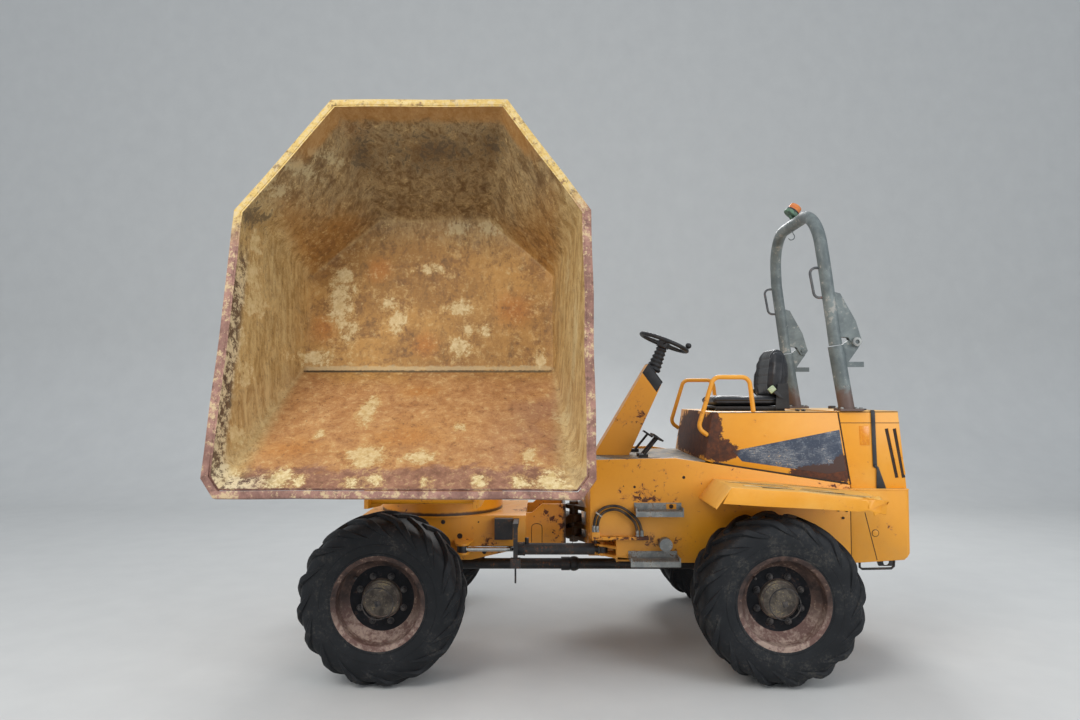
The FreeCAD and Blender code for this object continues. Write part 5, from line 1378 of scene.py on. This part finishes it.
# %% Flange bolts and pin washers of the hoop
def post_bolts(bm, side):
    for x in (-1.865, -1.740):
        for y in (0.478, 0.562):
            add_bolt(bm, (x, side * y, 1.6305), (0, 0, 1), 0.011, 0.009)
    add_lathe(bm, [(0.014, 0.0), (0.030, 0.0), (0.030, 0.005), (0.014, 0.005)],
              (-1.851, side * 0.5575, 2.071), (0, side, 0), 24)


trim("post_bolts", "galvanised", post_bolts, 0.001)

# %% [markdown]
# ## Joint, ram and front frame
# Small things between the wheels: the arch welded on the neck plate, ports and bolts on the
# ram, torn holes in the frame plate as dark discs of painted shade, and the black boot ends of the pins.

# %% Between the frames
NECK_Y = 0.260
FRAME_Y = 0.380
bm = bmesh.new()
for side in (1, -1):
    arch = [(0.302, 0.700), (0.302, 0.800), (0.292, 0.822), (0.266, 0.830), (0.240, 0.822), (0.230, 0.800),
            (0.230, 0.700)]
    add_tube(bm, curve_points([(x, side * NECK_Y, z) for x, z in arch], 4), 0.0022, 6)
    add_tube(bm, [(0.020, side * (NECK_Y + 0.001), 0.925), (0.020, side * (NECK_Y + 0.001), 0.66)], 0.0018, 6)
bmesh.ops.recalc_face_normals(bm, faces=bm.faces)
finish_piece("neck_arch", bm, "front_chassis", "slot")


# Painted shade: the holes are flat dark discs in place of their shaded openings.
def frame_holes(bm, side):
    for x, z, size in ((0.787, 0.766, 0.019), (0.724, 0.722, 0.016), (0.735, 0.735, 0.012),
                       (0.155, 0.770, 0.006), (0.080, 0.780, 0.005), (0.66, 0.86, 0.006)):
        y = FRAME_Y if x > 0.4 else NECK_Y
        add_rod(bm, (x, side * y, z), (x, side * (y + 0.0012), z), size, 9)


trim("frame_holes", "slot", frame_holes, body="front_chassis")


def frame_bolts(bm, side):
    out = (0, side, 0)
    for x, z in ((0.90, 0.73), (0.90, 0.86), (1.36, 0.88), (1.36, 0.72), (1.10, 0.88), (0.62, 0.66), (1.24, 0.88)):
        add_bolt(bm, (x, side * FRAME_Y, z), out, 0.011, 0.008)


trim("frame_bolts", "nut", frame_bolts, 0.001, "front_chassis")
bm = bmesh.new()
for k in range(24):
    angle = math.tau * k / 24
    add_bolt(bm, (0.95 + 0.395 * math.cos(angle), 0.395 * math.sin(angle), 1.0115), (0, 0, 1), 0.009, 0.007, False)
finish_piece("ring_bolts", bm, "turntable", "nut", 0.001)
bm = bmesh.new()
RAM_Y, RAM_Z = 0.500, 0.705
for x in (-0.125, 0.330):
    add_rod(bm, (x, RAM_Y, RAM_Z + 0.036), (x, RAM_Y, RAM_Z + 0.066), 0.013, 16)
    add_rod(bm, (x, RAM_Y, RAM_Z + 0.054), (x, RAM_Y, RAM_Z + 0.072), 0.015, 6)
for x in (-0.144, 0.348):
    add_lathe(bm, [(0.0405, -0.006), (0.0445, -0.006), (0.0445, 0.006), (0.0405, 0.006)], (x, RAM_Y, RAM_Z),
              (1, 0, 0), 32)
bmesh.ops.recalc_face_normals(bm, faces=bm.faces)
finish_piece("ram_ports", bm, "steer_barrel", "dark", 0.001)

# %% Weld beads where plates meet
bm = bmesh.new()
for side in (1, -1):
    for n, (start, end) in enumerate((((-0.455, 0.601, 0.790), (-0.455, 0.645, 0.790)),
                                      ((-0.450, 0.602, 0.809), (-0.100, 0.602, 0.809)),
                                      ((-0.660, 0.602, 1.023), (-0.380, 0.602, 1.023)),
                                      ((-1.765, 0.602, 1.1075), (-2.150, 0.602, 1.1075)))):
        if side > 0 or n > 1:
            add_weld(bm, (start[0], side * start[1], start[2]), (end[0], side * end[1], end[2]), 0.0035, 0.010, n)
bmesh.ops.recalc_face_normals(bm, faces=bm.faces)
finish_piece("rear_welds", bm, "rear_chassis", "paint")
bm = bmesh.new()
for n, (u, v) in enumerate(FLOOR):
    mouth = MOUTH[n + 1]
    for side in (1, -1):
        low = on_skip(u, side * v, 1.180)
        high = on_skip(mouth[0], side * mouth[1], 1.980)
        away = (low - on_skip(0.0, 0.0, 1.45)).normalized() * 0.012
        add_weld(bm, low.lerp(high, 0.04) + away, low.lerp(high, 0.94) + away, 0.006, 0.014, n)
bmesh.ops.recalc_face_normals(bm, faces=bm.faces)
finish_piece("skip_welds", bm, "skip", "skip_outside")

# %% [markdown]
# ## Covers, rear and the other side
# Hatch line, hinges, latch and filler on the engine cover, a radiator grille at the rear,
# a seal where the cover meets the deck, scuffs on the fenders and the rusty hose bracket.

# %% Cover top, seal and grille
bm = bmesh.new()
seal = [(-0.893, 0.5615, 1.2775), (-1.040, 0.5615, 1.2515), (-1.770, 0.5615, 1.1405)]
for side in (1, -1):
    add_tube(bm, [(x, side * y, z) for x, y, z in seal], 0.007, 8)
bmesh.ops.recalc_face_normals(bm, faces=bm.faces)
finish_piece("cover_seal", bm, "rear_chassis", "slot")
bm = bmesh.new()
for k in range(7):
    z = 1.185 + 0.045 * k
    x = -2.1595 + (z - 1.11) * 0.094
    add_box(bm, (x - 0.006, -0.36, z), (x + 0.004, 0.36, z + 0.020), ((x, 0, z), "Y", -5))
finish_piece("rear_grille", bm, "rear_chassis", "slot")
bm = bmesh.new()
for k in range(7):
    z = 1.205 + 0.045 * k
    x = -2.1595 + (z - 1.11) * 0.094
    add_box(bm, (x - 0.016, -0.36, z), (x + 0.002, 0.36, z + 0.004), ((x, 0, z), "Y", -35))
finish_piece("grille_fins", bm, "rear_chassis", "paint", 0.0008)
bm = bmesh.new()
for x in (-1.515, -1.555):
    for y in (-0.36, 0.36):
        add_rod(bm, (x, y - 0.03, 1.6165), (x, y + 0.03, 1.6165), 0.007, 12)
add_lathe(bm, [(0.0, 0.022), (0.024, 0.022), (0.028, 0.017), (0.028, 0.0)], (-2.00, -0.30, 1.615), (0, 0, 1), 24)
add_rod(bm, (-1.995, 0.30, 1.612), (-1.995, 0.30, 1.626), 0.016, 20)
bmesh.ops.recalc_face_normals(bm, faces=bm.faces)
finish_piece("cover_fittings", bm, "rear_chassis", "dark", 0.0008)


def hitch_bolts(bm, side):
    for z in (0.700, 0.790):
        add_bolt(bm, (-2.1725, side * 0.066, z), (-1, 0, 0), 0.010, 0.008)
    for z in (0.80, 1.00):
        add_bolt(bm, (-2.160, side * 0.42, z), (-1, 0, 0), 0.014, 0.010)


trim("hitch_bolts", "nut", hitch_bolts, 0.001)


# %% Fender scuffs and the rusty bracket
def fender_height(x):
    """The fender's top behind its bend, from the frame's own outline."""
    return 1.176 - 0.026 * (-0.884 - x) / 0.416 if x > -1.30 else 1.150 - 0.046 * (-1.30 - x) / 0.50


def stripe(bm, side, start, end, wide):
    steps = 6
    for k in range(steps):
        ends = [start[0] + (end[0] - start[0]) * (k + n) / steps for n in (0, 1)]
        rows = [start[1] + (end[1] - start[1]) * (k + n) / steps for n in (0, 1)]
        top = [fender_height(x) + 0.0004 for x in ends]
        add_plate(bm, [(ends[0], side * rows[0], top[0]), (ends[1], side * rows[1], top[1]),
                       (ends[1], side * (rows[1] + wide), top[1]), (ends[0], side * (rows[0] + wide), top[0])],
                  (0, 0, 0.0012))


def pale_scuffs(bm, side):
    stripe(bm, side, (-0.93, 0.700), (-1.42, 0.740), 0.045)
    stripe(bm, side, (-1.00, 0.880), (-1.55, 0.860), 0.050)
    stripe(bm, side, (-1.30, 1.000), (-1.74, 0.960), 0.040)


def dark_scuffs(bm, side):
    stripe(bm, side, (-0.92, 0.760), (-1.30, 0.800), 0.014)
    stripe(bm, side, (-1.10, 0.950), (-1.60, 0.930), 0.016)
    stripe(bm, side, (-1.25, 0.680), (-1.66, 0.690), 0.012)


trim("fender_pale", "scuff", pale_scuffs)
trim("fender_dark", "slot", dark_scuffs)
bm = bmesh.new()
add_box(bm, (-0.4565, 0.6005, 0.7885), (-0.0905, 0.6475, 0.8095))
finish_piece("bracket_rust", bm, "rear_chassis", "rust_paint", 0.003)

# %% [markdown]
# ## Studio
# A pale sweep, a broad soft key from the upper left, a weaker fill and a rim light. The camera
# stands where the photo was taken from, at eye height on the machine's left.

# %% Floor and backdrop
def stage_floor():
    f = Finish("studio_floor")
    grain = f.noise(3.0, 6.0, 0.6)
    colour = f.mix(grain, srgb(188, 188, 186), srgb(200, 200, 197))
    material = f.done(colour, 0.75, 0.0)
    bm = bmesh.new()
    sweep = 3.0
    turns = [math.radians(90 * k / 12) for k in range(13)]
    line = [(60.0, 0.0)] + [(-6.0 - sweep * math.sin(a), sweep * (1 - math.cos(a))) for a in turns] + [(-9.0, 16.0)]
    rows = [[bm.verts.new((x, y, z)) for y, z in line] for x in (-60.0, 60.0)]
    for k in range(len(line) - 1):
        face = bm.faces.new((rows[0][k], rows[1][k], rows[1][k + 1], rows[0][k + 1]))
        face.smooth = True
    mesh = bpy.data.meshes.new("studio_floor")
    bm.to_mesh(mesh)
    bm.free()
    mesh.materials.append(material)
    obj = bpy.data.objects.new("studio_floor", mesh)
    collection.objects.link(obj)


stage_floor()


# %% Lamps and world
def lamp(name, place, target, size, power, tone=(1.0, 1.0, 1.0)):
    data = bpy.data.lights.new(name, "AREA")
    data.shape = "DISK"
    data.size = size
    data.energy = power
    data.color = tone
    obj = bpy.data.objects.new(name, data)
    obj.location = place
    obj.rotation_euler = (Vector(target) - Vector(place)).to_track_quat("-Z", "Y").to_euler()
    collection.objects.link(obj)


lamp("key", (4.5, 6.5, 7.0), (0.2, 0.0, 1.2), 5.0, 430, (1.0, 0.98, 0.95))
lamp("fill", (-6.0, 6.0, 3.5), (0.0, 0.0, 1.0), 4.0, 200, (0.94, 0.97, 1.0))
lamp("back", (-2.0, -6.0, 6.0), (0.0, 0.0, 1.5), 3.0, 260, (1.0, 1.0, 1.0))
world = bpy.data.worlds.new("soft_sky")
bpy.context.scene.world = world
world.use_nodes = True
world.node_tree.nodes["Background"].inputs[0].default_value = (0.80, 0.86, 0.94, 1.0)
world.node_tree.nodes["Background"].inputs[1].default_value = 0.85

# %% Camera where the photo was taken
eye = Vector((0.218, 5.580, 1.722))
look = Vector((0.0049, -0.9990, 0.0455))
camera_data = bpy.data.cameras.new("photo_camera")
camera_data.lens = 25.37
camera_data.sensor_width = 36.0
camera = bpy.data.objects.new("photo_camera", camera_data)
camera.location = eye
camera.rotation_euler = look.to_track_quat("-Z", "Y").to_euler()
collection.objects.link(camera)
bpy.context.scene.camera = camera
bpy.context.scene.view_settings.view_transform = "Standard"
